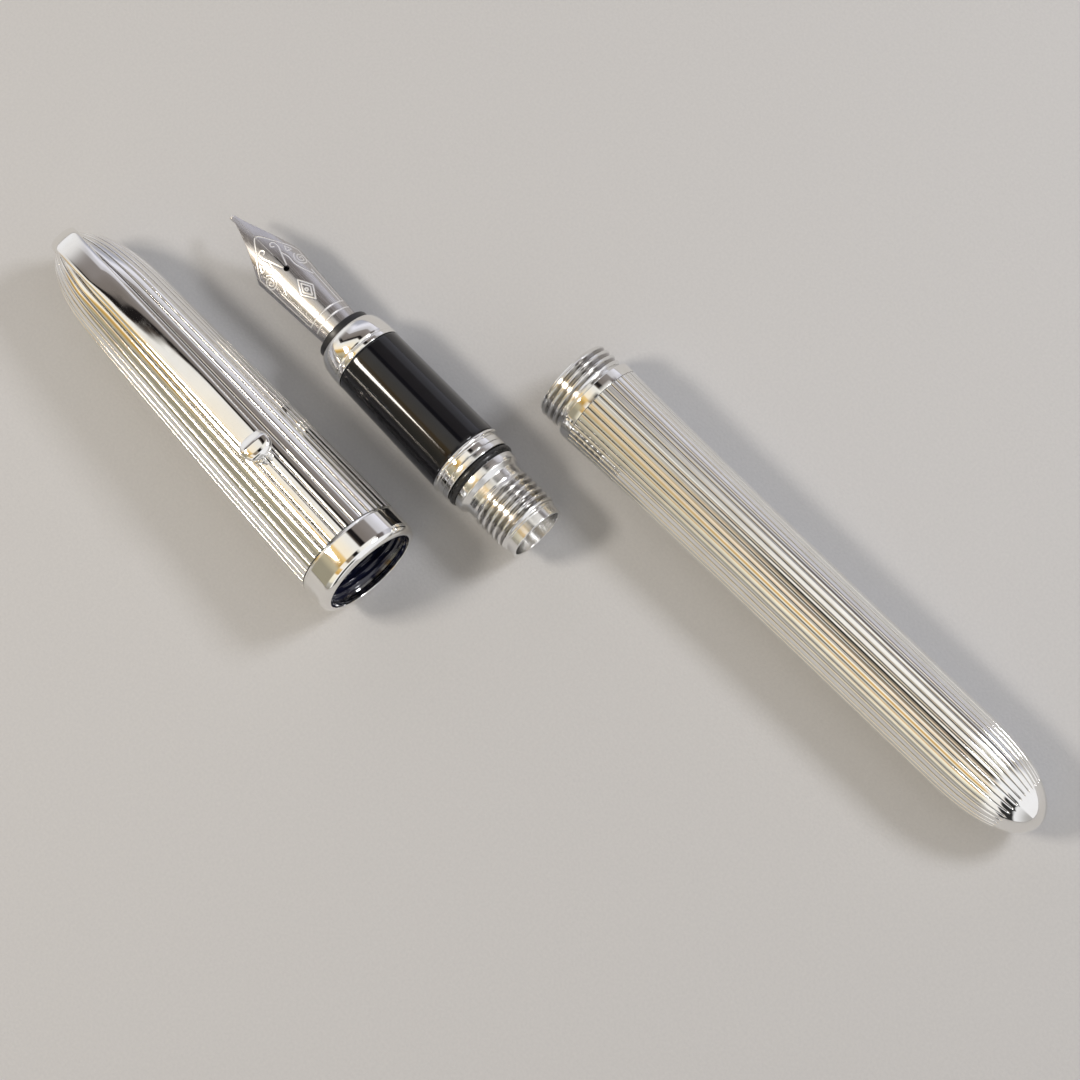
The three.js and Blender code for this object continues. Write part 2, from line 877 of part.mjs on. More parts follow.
const pen = new THREE.Group();
pen.add(
  laid(barrelAssembly(), LAYOUT.barrel),
  laid(sectionAssembly(), LAYOUT.section),
  laid(capAssembly(), LAYOUT.cap),
);
const middle = new THREE.Box3().setFromObject(pen, true).getCenter(new THREE.Vector3());
pen.children.forEach((assembly) => {
  assembly.position.x -= middle.x;
  assembly.position.y -= middle.y;
});

export default pen;
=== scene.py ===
"""A screw-cap fountain pen taken apart on a table: the cap with its clip, the grip section with its
nib, and the barrel with a piston converter stored inside.

Each shape is given in millimetres along its assembly's own +X axis, and is then stood in the
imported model's frame, in metres.
"""

import json
from math import asin, copysign, cos, exp, hypot, pi, radians, sin, sqrt, tau
from types import SimpleNamespace

import bmesh
import bpy
import numpy as np
from mathutils import Matrix, Vector


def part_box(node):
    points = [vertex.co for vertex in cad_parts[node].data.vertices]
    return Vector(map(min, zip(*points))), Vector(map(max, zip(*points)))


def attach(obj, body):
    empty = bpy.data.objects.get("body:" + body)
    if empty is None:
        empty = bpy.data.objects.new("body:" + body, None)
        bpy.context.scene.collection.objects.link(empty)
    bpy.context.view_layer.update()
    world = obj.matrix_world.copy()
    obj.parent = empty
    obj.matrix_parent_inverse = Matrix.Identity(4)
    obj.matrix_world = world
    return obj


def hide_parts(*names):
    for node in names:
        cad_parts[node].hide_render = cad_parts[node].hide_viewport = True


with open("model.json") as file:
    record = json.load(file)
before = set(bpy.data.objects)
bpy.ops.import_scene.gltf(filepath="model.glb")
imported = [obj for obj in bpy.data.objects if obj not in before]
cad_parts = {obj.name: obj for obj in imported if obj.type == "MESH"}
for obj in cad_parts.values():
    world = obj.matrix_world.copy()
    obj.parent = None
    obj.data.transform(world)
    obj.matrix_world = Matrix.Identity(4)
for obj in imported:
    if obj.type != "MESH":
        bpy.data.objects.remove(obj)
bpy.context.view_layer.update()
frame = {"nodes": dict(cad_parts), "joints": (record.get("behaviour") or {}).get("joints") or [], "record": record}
record = frame["record"]

MM = 0.001

# ---------------- dimensions, as in the CAD model

FLUTES = 36
FLUTE_DEPTH = 0.3
THREAD_PITCH = 1
THREAD_DEPTH = 0.3

CAP = SimpleNamespace(
    length=66.2, front=2.05, dome_start=0.9, dome_length=15.6, screw_hole=1.05,
    radius=8, taper=0.0205, taper_growth=0.0002, flute_start=2.4, flute_end=61.7,
    mouth_radius=6.8, lip=1.3, rim=0.35,
)
LINER = SimpleNamespace(
    start=9.6, floor=11, step=35, chamber=4.9, socket=5.95,
    thread_start=56.6, thread_step=61.65, thread_end=64.9, thread_root=6.3,
    mouth_root=6.55, end=65.1,
)
CLIP = SimpleNamespace(
    root_width=4.3, width=3.65, waist=0.45, crown=0.55, keel=0.45,
    end=47.6, ball_radius=2.2, ball_length=3.9, ball_height=8.75,
)
SECTION = SimpleNamespace(
    front_ring=4.45, grip=23.8, rear_ring=25.6, flange=26.45, seal=27.6,
    shoulder=29.4, neck=30.8, neck_radius=4.5, thread=36.8, thread_root=4.42,
    thread_crest=4.74, seal_seat=4.6, length=38.3, end_radius=4.25,
    front_radius=5.31, rear_radius=5.56, core_radius=4.95, housing_bore=4,
    rear_bore=3.85, partition=15.6,
)
NIB = SimpleNamespace(
    exposed=24.15, inserted=10, thickness=0.32, rear_radius=3.05,
    shoulder_radius=4.05, half_width=3.85, tip_half_width=0.3, tine_curve=1.35,
    shoulder=-14.2, breather=-12.3, breather_radius=0.42, slit=0.06, roll=-7,
    rear_narrowing=0.85, slit_share=0.35, slit_length=12, droop=1.6, droop_length=12,
    bevel=0.06, engraving=0.035, line=0.05, line_edge=0.07, rows=0.07,
)
FEED = SimpleNamespace(radius=2.66, front=-16.4, end=13.4, fin_gap=0.45)
HOUSING = SimpleNamespace(start=-1.05, end=13.9, radius=3.93, lip=4.14, bore=3.13)
SPIGOT = SimpleNamespace(start=14.1, flange=15.5, end=21.4, radius=1.3, hole=0.5)
BARREL = SimpleNamespace(
    length=84.8, tail_radius=5.9, swell=0.55, swell_length=20, dome_length=15,
    collar_length=3.6, collar_radius=6.08, band_start=4.25, band_end=5.85,
    flute_end=80.9, bore=4.85, counterbore=5.25, collar_seat=5.5, collar_end=13,
    sleeve_bore=5.15, liner_bore=4.55, bore_end=75.5, bore_tip=78.6,
)
CONVERTER = SimpleNamespace(
    start=12, drop=0.75, length=63, tube_radius=3.55, tube_bore=2.9,
    tube_end=42, ferrule_radius=3.75, ferrule_start=36, ferrule_end=48,
    knob_start=39.5, knob_radius=3.4, knob_neck=2.6, knob_bore=1.6,
    piston_front=6.6, rod_radius=1.1, rod_end=44,
)
KNURLS, KNURL_DEPTH = 16, 0.17
PRESS_GAP = 0.05

# ---------------- camera

# The camera looks down steeply on the pen, turned about its own line of sight.
CAMERA_PLACE = (60.7, -22.7, 287.6)
CAMERA_HEADING = 157.7  # degrees, from +X towards +Y
CAMERA_TILT = 77.5  # degrees below level
CAMERA_ROLL = 22.7
CAMERA_LENS = 72.2
SENSOR_WIDTH = 36
NEAREST_SEEN = 0.01  # in metres


def in_scene(name, data):
    """A new object with that data, linked into the scene."""
    made = bpy.data.objects.new(name, data)
    bpy.context.scene.collection.objects.link(made)
    return made


def add_camera():
    heading, tilt, roll = (radians(a) for a in (CAMERA_HEADING, CAMERA_TILT, CAMERA_ROLL))
    ahead = cos(tilt)
    forward = Vector((ahead * cos(heading), ahead * sin(heading), -sin(tilt)))
    level = forward.cross(Vector((0, 0, 1))).normalized()
    down = forward.cross(level)
    right = cos(roll) * level + sin(roll) * down
    up = sin(roll) * level - cos(roll) * down
    data = bpy.data.cameras.new("camera")
    data.lens = CAMERA_LENS
    data.sensor_width = SENSOR_WIDTH
    data.clip_start = NEAREST_SEEN
    camera = in_scene("camera", data)
    camera.matrix_world = Matrix((right, up, -forward)).transposed().to_4x4()
    camera.location = Vector(CAMERA_PLACE) * MM
    bpy.context.scene.camera = camera


# ---------------- assembly frames


def joint_axis(name):
    return Vector(next(j["axis"] for j in frame["joints"] if j["name"] == name))


def mount_place(name):
    return Vector(next(m["pos_m"] for m in record["mounts"] if m["name"] == name))


def laid(axis, point, along, above):
    """The frame of an assembly: +X is axis, and point lies along and above its origin."""
    x = axis.normalized()
    y = Vector((0, 0, 1)).cross(x).normalized()
    z = x.cross(y)
    matrix = Matrix((x, y, z)).transposed().to_4x4()
    matrix.translation = point - (along * x + above * z) * MM
    return matrix


def box_middle(node):
    low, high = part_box(node)
    return (low + high) / 2


RIM_RADIUS = CAP.mouth_radius + CAP.rim / 2
MOUTH_FACE_RADIUS = 5.45
SEAL_MIDDLE = (SECTION.flange + SECTION.seal) / 2

CAP_FRAME = laid(-joint_axis("cap_draw"), mount_place("cap_mouth_rim"), CAP.length, RIM_RADIUS)
BARREL_FRAME = laid(
    -joint_axis("converter_draw"), mount_place("barrel_mouth_face"), 0, MOUTH_FACE_RADIUS
)
SECTION_FRAME = laid(-joint_axis("section_draw"), box_middle("seal_ring"), SEAL_MIDDLE, 0)
NIB_FRAME = SECTION_FRAME @ Matrix.Rotation(radians(NIB.roll), 4, "X")
CONVERTER_FRAME = BARREL_FRAME @ Matrix.Translation(
    Vector((CONVERTER.start, 0, -CONVERTER.drop)) * MM
)

# ---------------- mesh helpers


def spread(start, end, step):
    """Evenly spaced numbers from start to end, about step apart."""
    count = max(1, round(abs(end - start) / step))
    return [start + (end - start) * i / count for i in range(count + 1)]


def circle(count):
    """Evenly spaced angles round a circle."""
    return spread(0, tau, tau / count)[:-1]


def smooth_step(value):
    t = min(max(value, 0), 1)
    return t * t * (3 - 2 * t)


def eased(corners):
    """An outline from (x, r) or (x, r, size) corners. A corner with a size is rounded over it."""
    outline = []
    for i, corner in enumerate(corners):
        here = Vector(corner[:2])
        if len(corner) == 2:
            outline.append(tuple(here))
            continue
        sides = [Vector(corners[i - 1][:2]), Vector(corners[(i + 1) % len(corners)][:2])]
        first, last = (
            here + (side - here).normalized() * min(corner[2], (side - here).length / 2)
            for side in sides
        )
        for t in (0, 0.25, 0.5, 0.75, 1):
            point = first * (1 - t) ** 2 + here * 2 * t * (1 - t) + last * t * t
            outline.append(tuple(point))
    return outline


def bands(count, around, closed=False):
    """Faces between each ring of points and the next. closed joins the last ring to the first."""
    faces = []
    for i in range(count if closed else count - 1):
        here, after = i * around, (i + 1) % count * around
        for j in range(around):
            k = (j + 1) % around
            faces.append((here + j, here + k, after + k, after + j))
    return faces


def fan(ring, around, middle):
    """Faces between a ring of points and one point in its middle."""
    return [(ring * around + j, ring * around + (j + 1) % around, middle) for j in range(around)]


def lathe(outline, turns, shape=None):
    """A solid of revolution about +X. The outline starts and ends on the axis, or is a closed ring.

    turns is a count, or the places round the axis as shares of a turn from the top.
    shape(x, r, turn) gives the radius where the wall isn't plain."""
    places = [i / turns for i in range(turns)] if isinstance(turns, int) else turns
    solid_ends = outline[0][1] == 0 and outline[-1][1] == 0
    rings = outline[1:-1] if solid_ends else outline
    vertices = []
    for x, r in rings:
        for turn in places:
            radius = shape(x, r, turn) if shape else r
            angle = tau * turn
            vertices.append((x, radius * sin(angle), radius * cos(angle)))
    faces = bands(len(rings), len(places), closed=not solid_ends)
    if solid_ends:
        for pole, ring in ((outline[0], 0), (outline[-1], len(rings) - 1)):
            vertices.append((pole[0], 0, 0))
            faces += fan(ring, len(places), len(vertices) - 1)
    return vertices, faces


def loft(rings):
    """A closed solid through rings of points, with a fan over each end."""
    around = len(rings[0])
    vertices = [tuple(p) for ring in rings for p in ring]
    faces = bands(len(rings), around)
    for ring in (0, len(rings) - 1):
        vertices.append(tuple(sum((Vector(p) for p in rings[ring]), Vector()) / around))
        faces += fan(ring, around, len(vertices) - 1)
    return vertices, faces


def between(p, q, start, end, t):
    """The point that is at p when t is at start, and at q when it is at end."""
    return p * ((end - t) / (end - start)) + q * ((t - start) / (end - start))


def spline(points, per_span):
    """A smooth line through points: a centripetal Catmull-Rom curve."""
    points = [Vector(p) for p in points]
    line = [2 * points[0] - points[1], *points, 2 * points[-1] - points[-2]]
    out = []
    for a, b, c, d in zip(line, line[1:], line[2:], line[3:]):
        knots = [0]
        for p, q in ((a, b), (b, c), (c, d)):
            knots.append(knots[-1] + (q - p).length ** 0.5)
        t0, t1, t2, t3 = knots
        for i in range(per_span):
            t = t1 + (t2 - t1) * i / per_span
            bc = between(b, c, t1, t2, t)
            abc = between(between(a, b, t0, t1, t), bc, t0, t2, t)
            bcd = between(bc, between(c, d, t2, t3, t), t1, t3, t)
            out.append(between(abc, bcd, t1, t2, t))
    return out + [points[-1]]


def thread_height(x, turn, start, end):
    """Height of a right-handed screw thread, from 0 in the groove to 1 on the crest."""
    half_ridge, flank, run_in = 0.36, 0.26, 0.6  # in pitches
    phase = ((x - start) / THREAD_PITCH + turn) % 1
    ridge = smooth_step((half_ridge - abs(phase - 0.5)) / flank)
    return ridge * smooth_step(min(x - start, end - x) / (run_in * THREAD_PITCH))


def threaded(height, start, end, *roots):
    """A shape for lathe that adds a thread where the wall has one of the roots' radii."""

    def shape(x, r, turn):
        at_root = any(abs(r - root) < 1e-6 for root in roots)
        return r + height * thread_height(x, turn, start, end) if at_root else r

    return shape


BODY_OF = {n: body for body, nodes in record["behaviour"]["bodies"].items() for n in nodes}
SLOT_OF = {part["node"]: part["material_slot"] for part in record["subparts"]}
MATERIALS = {}


def place(node, shape, matrix, material=None, sharp=38):
    """Makes the detailed piece that stands for a CAD node, from a (vertices, faces) shape."""
    vertices, faces = shape
    mesh = bpy.data.meshes.new(f"{node}_fine")
    mesh.from_pydata([(x * MM, y * MM, z * MM) for x, y, z in vertices], [], faces)
    work = bmesh.new()
    work.from_mesh(mesh)
    bmesh.ops.recalc_face_normals(work, faces=work.faces)
    work.to_mesh(mesh)
    work.free()
    mesh.shade_smooth()
    mesh.set_sharp_from_angle(angle=radians(sharp))
    piece = in_scene(mesh.name, mesh)
    piece.matrix_world = matrix
    mesh.materials.append(material or MATERIALS[SLOT_OF[node]])
    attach(piece, BODY_OF[node])
    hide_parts(node)
    return piece


def mark_sink(piece, crest, depth):
    """Stores how deep each point lies in a groove, from 0 to 1, below the radius crest(x)."""
    sinks = []
    for vertex in piece.data.vertices:
        x, y, z = vertex.co / MM
        sink = (crest(x) - hypot(y, z)) / depth
        sinks.append(min(max(sink, 0), 1))
    layer = piece.data.attributes.new("sink", "FLOAT", "POINT")
    layer.data.foreach_set("value", sinks)


def within(start, end, radius):
    """A crest of that radius between start and end, and none outside."""
    return lambda x: radius if start < x < end else 0


# ---------------- materials


def rgb(red, green, blue):
    return (red, green, blue, 1)


class Graph:
    """A material's or world's node tree. Values are numbers, colours or other nodes' outputs."""

    def __init__(self, owner):
        owner.use_nodes = True
        self.nodes, self.links = owner.node_tree.nodes, owner.node_tree.links

    def link(self, value, socket):
        if hasattr(value, "is_output"):
            self.links.new(value, socket)
        else:
            socket.default_value = value

    def add(self, kind, output, inputs=None, **settings):
        """Adds a node with those settings and inputs, and returns the named output."""
        node = self.nodes.new(f"ShaderNode{kind}")
        for name, value in settings.items():
            setattr(node, name, value)
        for name, value in (inputs or {}).items():
            self.link(value, node.inputs[name])
        return node.outputs[output]

    def ranged(self, value, start, end, low=0, high=1):
        """Turns the range from start to end into the range from low to high, and stops there."""
        limits = {"From Min": start, "From Max": end, "To Min": low, "To Max": high}
        return self.add("MapRange", "Result", {"Value": value, **limits})

    def mixed(self, share, first, second):
        inputs = {"Factor": share, "A": first, "B": second}
        return self.add("Mix", "Result", inputs, data_type="RGBA")

    def maths(self, operation, first, second):
        return self.add("Math", "Value", {0: first, 1: second}, operation=operation)

    def ramp(self, value, low, high, stops):
        """Looks value up in soft colour stops between low and high."""
        colour = self.add("ValToRGB", "Color", {"Fac": self.ranged(value, low, high)})
        colour.node.color_ramp.interpolation = "EASE"
        elements = colour.node.color_ramp.elements
        while len(elements) > 1:
            elements.remove(elements[-1])
        for i, (at, tone) in enumerate(stops):
            position = (at - low) / (high - low)
            element = elements[0] if i == 0 else elements.new(position)
            element.position = position
            element.color = rgb(*tone)
        return colour


METAL = {"Metallic": 1}


class Shader(Graph):
    """A new material, with the patterns that the finishes here need."""

    def __init__(self, name):
        self.material = bpy.data.materials.new(name)
        super().__init__(self.material)
        self.place = self.scaled(self.add("TexCoord", "Object"), (1 / MM,) * 3)

    def scaled(self, vector, scale):
        return self.add("Mapping", "Vector", {"Vector": vector, "Scale": scale})

    def noise(self, stretch=(1, 1, 1), scale=1, detail=3, seed=0):
        """Noise in millimetres: scale is features per millimetre, along each axis of stretch."""
        inputs = {"Vector": self.scaled(self.place, stretch)}
        inputs |= {"W": seed, "Scale": scale, "Detail": detail}
        return self.add("TexNoise", "Fac", inputs, noise_dimensions="4D")

    def attribute(self, name):
        return self.add("Attribute", "Fac", attribute_name=name)

    def finished(self, colour, roughness, height=None, depth=0, sockets=None):
        """Sets the surface's sockets. height, from 0 to 1, is bump over depth in millimetres."""
        inputs = {"Base Color": colour, "Roughness": roughness, **(sockets or {})}
        if height is not None:
            bump = {"Distance": depth * MM, "Height": height}
            inputs["Normal"] = self.add("Bump", "Normal", bump)
        for name, value in inputs.items():
            self.link(value, self.nodes["Principled BSDF"].inputs[name])
        return self.material


def polished_silver():
    """Mirror-bright plating, with hairlines, finger smudges and tarnish, and painted shade in its grooves."""
    s = Shader("polished_silver")
    tarnish = s.ranged(s.noise(scale=0.35, detail=4, seed=2), 0.35, 0.75)
    silver = s.mixed(tarnish, rgb(0.93, 0.925, 0.91), rgb(0.885, 0.87, 0.84))
    # Painted shade: the colour turns near-black as the surface sinks into a groove.
    groove_shade = s.ranged(s.attribute("sink"), 0.25, 0.8, 0, 0.88)
    colour = s.mixed(groove_shade, silver, rgb(0.06, 0.048, 0.038))
    smudge = s.ranged(s.noise(scale=0.5, detail=5, seed=5), 0.45, 0.75, 0.035, 0.1)
    hairlines = s.noise(stretch=(0.15, 3, 3), detail=2, seed=1)
    roughness = s.maths("ADD", smudge, s.ranged(hairlines, 0.5, 0.8, 0, 0.04))
    return s.finished(colour, roughness, hairlines, 0.0001, METAL)


def satin_silver():
    """Turned plating with fine tool marks that run round the piece, and painted shade in its grooves."""
    s = Shader("satin_silver")
    marks = s.noise(stretch=(8, 0.2, 0.2), detail=2, seed=3)
    turned = s.mixed(marks, rgb(0.8, 0.795, 0.785), rgb(0.9, 0.895, 0.885))
    # Painted shade: the colour turns dark brown as the surface sinks into a groove.
    groove_shade = s.ranged(s.attribute("sink"), 0.35, 0.95, 0, 0.75)
    colour = s.mixed(groove_shade, turned, rgb(0.16, 0.145, 0.13))
    return s.finished(colour, s.ranged(marks, 0.3, 0.7, 0.12, 0.24), marks, 0.001, METAL)


def nib_silver():
    """Fine satin, brushed along the nib, with engraved lines painted near-white as a painted highlight."""
    s = Shader("nib_silver")
    brushed = s.noise(stretch=(0.3, 6, 6), detail=2, seed=4)
    cloud = s.noise(scale=0.4, seed=6)
    field = s.mixed(cloud, rgb(0.55, 0.535, 0.54), rgb(0.63, 0.615, 0.615))
    engraved = s.attribute("engraving")
    # Painted highlight: the engraved lines are coloured near-white, brighter than the field around them.
    colour = s.mixed(engraved, field, rgb(0.97, 0.965, 0.96))
    satin = s.ranged(brushed, 0.3, 0.7, 0.2, 0.3)
    roughness = s.maths("ADD", satin, s.maths("MULTIPLY", engraved, 0.25))
    return s.finished(colour, roughness, brushed, 0.0008, METAL)


def hard_tip():
    """Ground hard alloy: bright, with a fine even grain."""
    s = Shader("hard_tip")
    grain = s.noise(scale=14, seed=8)
    colour = s.mixed(grain, rgb(0.82, 0.82, 0.83), rgb(0.93, 0.93, 0.93))
    return s.finished(colour, s.ranged(grain, 0.3, 0.7, 0.16, 0.3), grain, 0.002, METAL)


def turned_metal(name, dark, light, seed):
    """Plain turned metal, slightly dulled."""
    s = Shader(name)
    marks = s.noise(stretch=(10, 0.3, 0.3), scale=1.5, detail=4, seed=seed)
    colour = s.mixed(s.noise(scale=0.5, detail=4, seed=seed + 1), dark, light)
    return s.finished(colour, s.ranged(marks, 0.3, 0.7, 0.22, 0.4), marks, 0.005, METAL)


def black_lacquer():
    """Deep glossy lacquer, with fine hairlines in its clear coat."""
    s = Shader("black_lacquer")
    depth = s.noise(scale=0.6, seed=11)
    colour = s.mixed(depth, rgb(0.003, 0.003, 0.004), rgb(0.008, 0.008, 0.011))
    hairlines = s.noise(stretch=(0.15, 3, 3), detail=2, seed=12)
    coat = {"Specular IOR Level": 0.2, "Coat Weight": 0.6, "Coat Roughness": 0.04}
    return s.finished(colour, s.ranged(hairlines, 0.4, 0.8, 0.08, 0.16), hairlines, 0.00005, coat)


def black_plastic(name="black_plastic", tint=(0.012, 0.012, 0.014), rough=(0.28, 0.42), gloss=0.5):
    """Moulded black plastic with a faint mould grain."""
    s = Shader(name)
    grain = s.noise(scale=9, detail=4, seed=14)
    colour = s.mixed(s.noise(scale=0.5, seed=15), rgb(*tint), rgb(*(1.6 * c for c in tint)))
    roughness = s.ranged(grain, 0.3, 0.7, *rough)
    return s.finished(colour, roughness, grain, 0.002, {"Specular IOR Level": gloss})


def black_rubber():
    """A smooth sealing ring with a trace of grease."""
    s = Shader("black_rubber")
    grease = s.noise(scale=1.6, detail=4, seed=17)
    colour = s.mixed(grease, rgb(0.006, 0.006, 0.006), rgb(0.018, 0.018, 0.019))
    roughness = s.ranged(grease, 0.35, 0.7, 0.16, 0.42)
    return s.finished(colour, roughness, s.noise(scale=7, seed=18), 0.004)


def clear_plastic():
    """The converter's clear tube, with light scuffs along it."""
    s = Shader("clear_plastic")
    scuffs = s.noise(stretch=(0.4, 5, 5), scale=1.5, detail=4, seed=20)
    colour = s.mixed(scuffs, rgb(0.93, 0.96, 0.97), rgb(0.86, 0.9, 0.92))
    roughness = s.ranged(scuffs, 0.45, 0.8, 0.02, 0.2)
    return s.finished(colour, roughness, sockets={"Transmission Weight": 1, "IOR": 1.49})


def make_materials():
    for finish in (
        polished_silver, satin_silver, nib_silver, hard_tip,
        black_lacquer, black_plastic, black_rubber, clear_plastic,
    ):
        MATERIALS[finish.__name__] = finish()
    MATERIALS["brass"] = turned_metal("brass", rgb(0.62, 0.46, 0.2), rgb(0.78, 0.6, 0.32), 22)
    MATERIALS["steel"] = turned_metal("steel", rgb(0.5, 0.5, 0.51), rgb(0.66, 0.66, 0.67), 24)


# ---------------- outer profiles


def dome(distance, length):
    t = min(max(distance / length, 0), 1)
    return sqrt(1 - (1 - t) ** 2.6)


def cap_radius(x):
    from_band = max(CAP.flute_end - x, 0)
    wall = CAP.radius - CAP.taper * from_band - CAP.taper_growth * from_band**2
    return wall * dome(x - CAP.dome_start, CAP.dome_length)


def barrel_radius(x):
    swell = BARREL.swell * exp((BARREL.band_start - x) / BARREL.swell_length)
    return (BARREL.tail_radius + swell) * dome(BARREL.length - x, BARREL.dome_length)


# Places across one flute, as shares of its width, crowded towards the groove at 0.
ACROSS_FLUTE = (0, 0.02, 0.045, 0.08, 0.13, 0.22, 0.36, 0.5, 0.64, 0.78, 0.87, 0.92, 0.955, 0.98)
FLUTE_TURNS = [(i + across) / FLUTES for i in range(FLUTES) for across in ACROSS_FLUTE]
FULL_DEPTH_RADIUS = 5  # the grooves get shallower where the dome is narrower than this


def fluted(wall, start, end, start_fade, end_fade):
    """Broad, softly crowned ridges. The narrow grooves between them fade in and out."""

    def shape(x, r, turn):
        if r < wall(x) - 0.01:
            return r
        from_ridge = abs(2 * (turn * FLUTES % 1) - 1)
        run_out = min((x - start) / start_fade, (end - x) / end_fade)
        depth = FLUTE_DEPTH * smooth_step(run_out) * min(r / FULL_DEPTH_RADIUS, 1)
        crown, groove = 0.12 * from_ridge**2, 0.88 * from_ridge**11
        return r - depth * (crown + groove)

    return shape


# ---------------- cap


def cap_shell():
    crowded, seat = 22, 4.2  # the length over which rings crowd towards the tip; the screw's seat
    tip = [CAP.front + crowded * (1 - cos(t * pi / 2)) for t in spread(0, 1, 1 / 48)]
    wall = tip + spread(tip[-1], CAP.flute_end - 0.8, 2.5)[1:]
    wall += spread(CAP.flute_end - 0.7, CAP.flute_end, 0.1)
    inside = [(CAP.flute_end, 7), (35, 6.39), (22, 6.1), (9.2, 5.1), (8.4, 4.4), (seat, 3)]
    outline = [
        (seat, CAP.screw_hole), (CAP.front, CAP.screw_hole), *((x, cap_radius(x)) for x in wall),
        *inside,
    ]
    shape = fluted(cap_radius, CAP.flute_start, CAP.flute_end + 0.1, 1.5, 0.2)
    piece = place("cap_shell", lathe(outline, FLUTE_TURNS, shape), CAP_FRAME)
    mark_sink(piece, cap_radius, FLUTE_DEPTH)


def cap_band():
    """A plain bright band with a full, rounded lip."""
    start = CAP.flute_end + PRESS_GAP
    lip_start = CAP.length - CAP.lip
    rim = CAP.mouth_radius + CAP.rim
    lip = [
        (lip_start + CAP.lip * sin(a), rim + (CAP.radius - rim) * cos(a))
        for a in spread(0, pi / 2, pi / 32)
    ]
    corners = [
        (start, 7.02), (start, CAP.radius - 0.14, 0.08), (start + 0.3, CAP.radius - 0.1, 0.06),
        (start + 0.4, CAP.radius, 0.08), *lip, (CAP.length, CAP.mouth_radius, 0.1),
        (65.4, CAP.mouth_radius), (65.2, 7.02),
    ]
    place("cap_band", lathe(eased(corners), 192), CAP_FRAME)


def cap_liner():
    """The glossy inside of the cap, with a thread that starts just within its mouth."""
    start, end = LINER.thread_start, LINER.thread_end
    socket, chamber, step = LINER.socket, LINER.chamber, LINER.step

    def root(x):
        return LINER.thread_root if x < LINER.thread_step else LINER.mouth_root

    outline = [
        (LINER.start, 0), (LINER.start, 4.6), (22, 6.02), (step, 6.31), (61, 6.9), (LINER.end, 6.9),
        (LINER.end, 6.6), *((x, root(x)) for x in spread(end, start, 0.1)), (start - 0.2, socket),
        *((x, socket) for x in spread(start - 2, step, 5)), (step - 0.6, chamber), (20, chamber),
        (LINER.floor, 4.1), (LINER.floor, 0),
    ]

    thread = threaded(-THREAD_DEPTH, start, end, LINER.thread_root, LINER.mouth_root)
    gloss = black_plastic("black_plastic_gloss", (0.006, 0.007, 0.02), (0.08, 0.16), 0.8)
    place("cap_liner", lathe(outline, 144, thread), CAP_FRAME, gloss)


CLIP_PATH = [
    (1.45, 0, -1.5), (1.42, 0, 0.8), (1.6, 0, 2.6), (2.3, 0, 3.85), (3.7, 0, 5.02),
    (6.6, 0, 6.25), (11, 0, 7.25), (18, 0, 7.9), (30, 0, 8.5), (43.6, 0, 8.85), (44.6, 0, 8.87),
]


def clip_strap():
    """A polished strap, bent down over the cap's tip, crowned above and flat below."""
    path = spline(CLIP_PATH, 16)
    lengths = [0.0]
    for a, b in zip(path, path[1:]):
        lengths.append(lengths[-1] + (b - a).length)
    rounding, nose_share = 2.3, 0.3  # the root's end narrows to this share over this length
    set_back, set_back_length = 0.9, 8  # its sides lie further back: the front is round in plan
    shares = [cos(a) for a in spread(0, pi, 0.1)]
    keel = -CLIP.keel
    rings = []
    for i, centre in enumerate(path):
        ahead, behind = path[min(i + 1, len(path) - 1)], path[max(i - 1, 0)]
        direction = (ahead - behind).normalized()
        up = Vector((-direction.z, 0, direction.x))
        waist = smooth_step(lengths[i] / lengths[-1] / CLIP.waist)
        width = CLIP.root_width + (CLIP.width - CLIP.root_width) * waist
        nose = sqrt(1 - (1 - min(lengths[i] / rounding, 1)) ** 2)
        half = width / 2 * (nose_share + (1 - nose_share) * nose)
        back = set_back * (1 - smooth_step(lengths[i] / set_back_length))
        top = [(half * y, CLIP.crown * max(1 - abs(y) ** 3.6, 0) ** 0.42) for y in shares]
        under = [(-half, keel + 0.2), (-half + 0.12, keel + 0.05), (-half + 0.4, keel)]
        under += [(-y, lift) for y, lift in reversed(under)]
        rings.append(
            [centre + Vector((back * (y / half) ** 2, y, 0)) + up * lift for y, lift in top + under]
        )
    place("clip_strap", loft(rings), CAP_FRAME, sharp=50)


def clip_ball():
    """The teardrop that the strap widens into, with a small pip below that grips a pocket."""
    start = CLIP.end - CLIP.ball_length
    strap_half, strap_top, strap_under, growth = 1.7, 0.6, 0.25, 0.65
    widest, bend = 0.45, 0.6  # where the sides and the top turn down, as shares of the length
    pip_depth, pip_x, pip_spread = 0.15, 45.8, 0.5
    rings = []
    for turn in spread(0, radians(177), radians(3.5)):
        along = (1 - cos(turn)) / 2
        x = start + CLIP.ball_length * along
        swell = smooth_step(along / widest)
        closing = sqrt(1 - max((along - widest) / (1 - widest), 0) ** 2.2)
        falling = sqrt(1 - max((along - bend) / (1 - bend), 0) ** 3)
        half = (strap_half + (CLIP.ball_radius - strap_half) * swell) * closing
        top = (strap_top + growth * swell) * falling
        under = (strap_under + growth * swell) * closing
        ring = []
        for around in circle(64):
            up = sin(around)
            lift = top * up**0.5 if up > 0 else under * max(1.4 * up, -1)
            pip = pip_depth * exp(-((x - pip_x) ** 2) / pip_spread) * max(-up, 0) ** 4
            ring.append(Vector((x, half * cos(around), CLIP.ball_height + lift - pip)))
        rings.append(ring)
    place("clip_ball", loft(rings), CAP_FRAME, sharp=60)


# ---------------- section


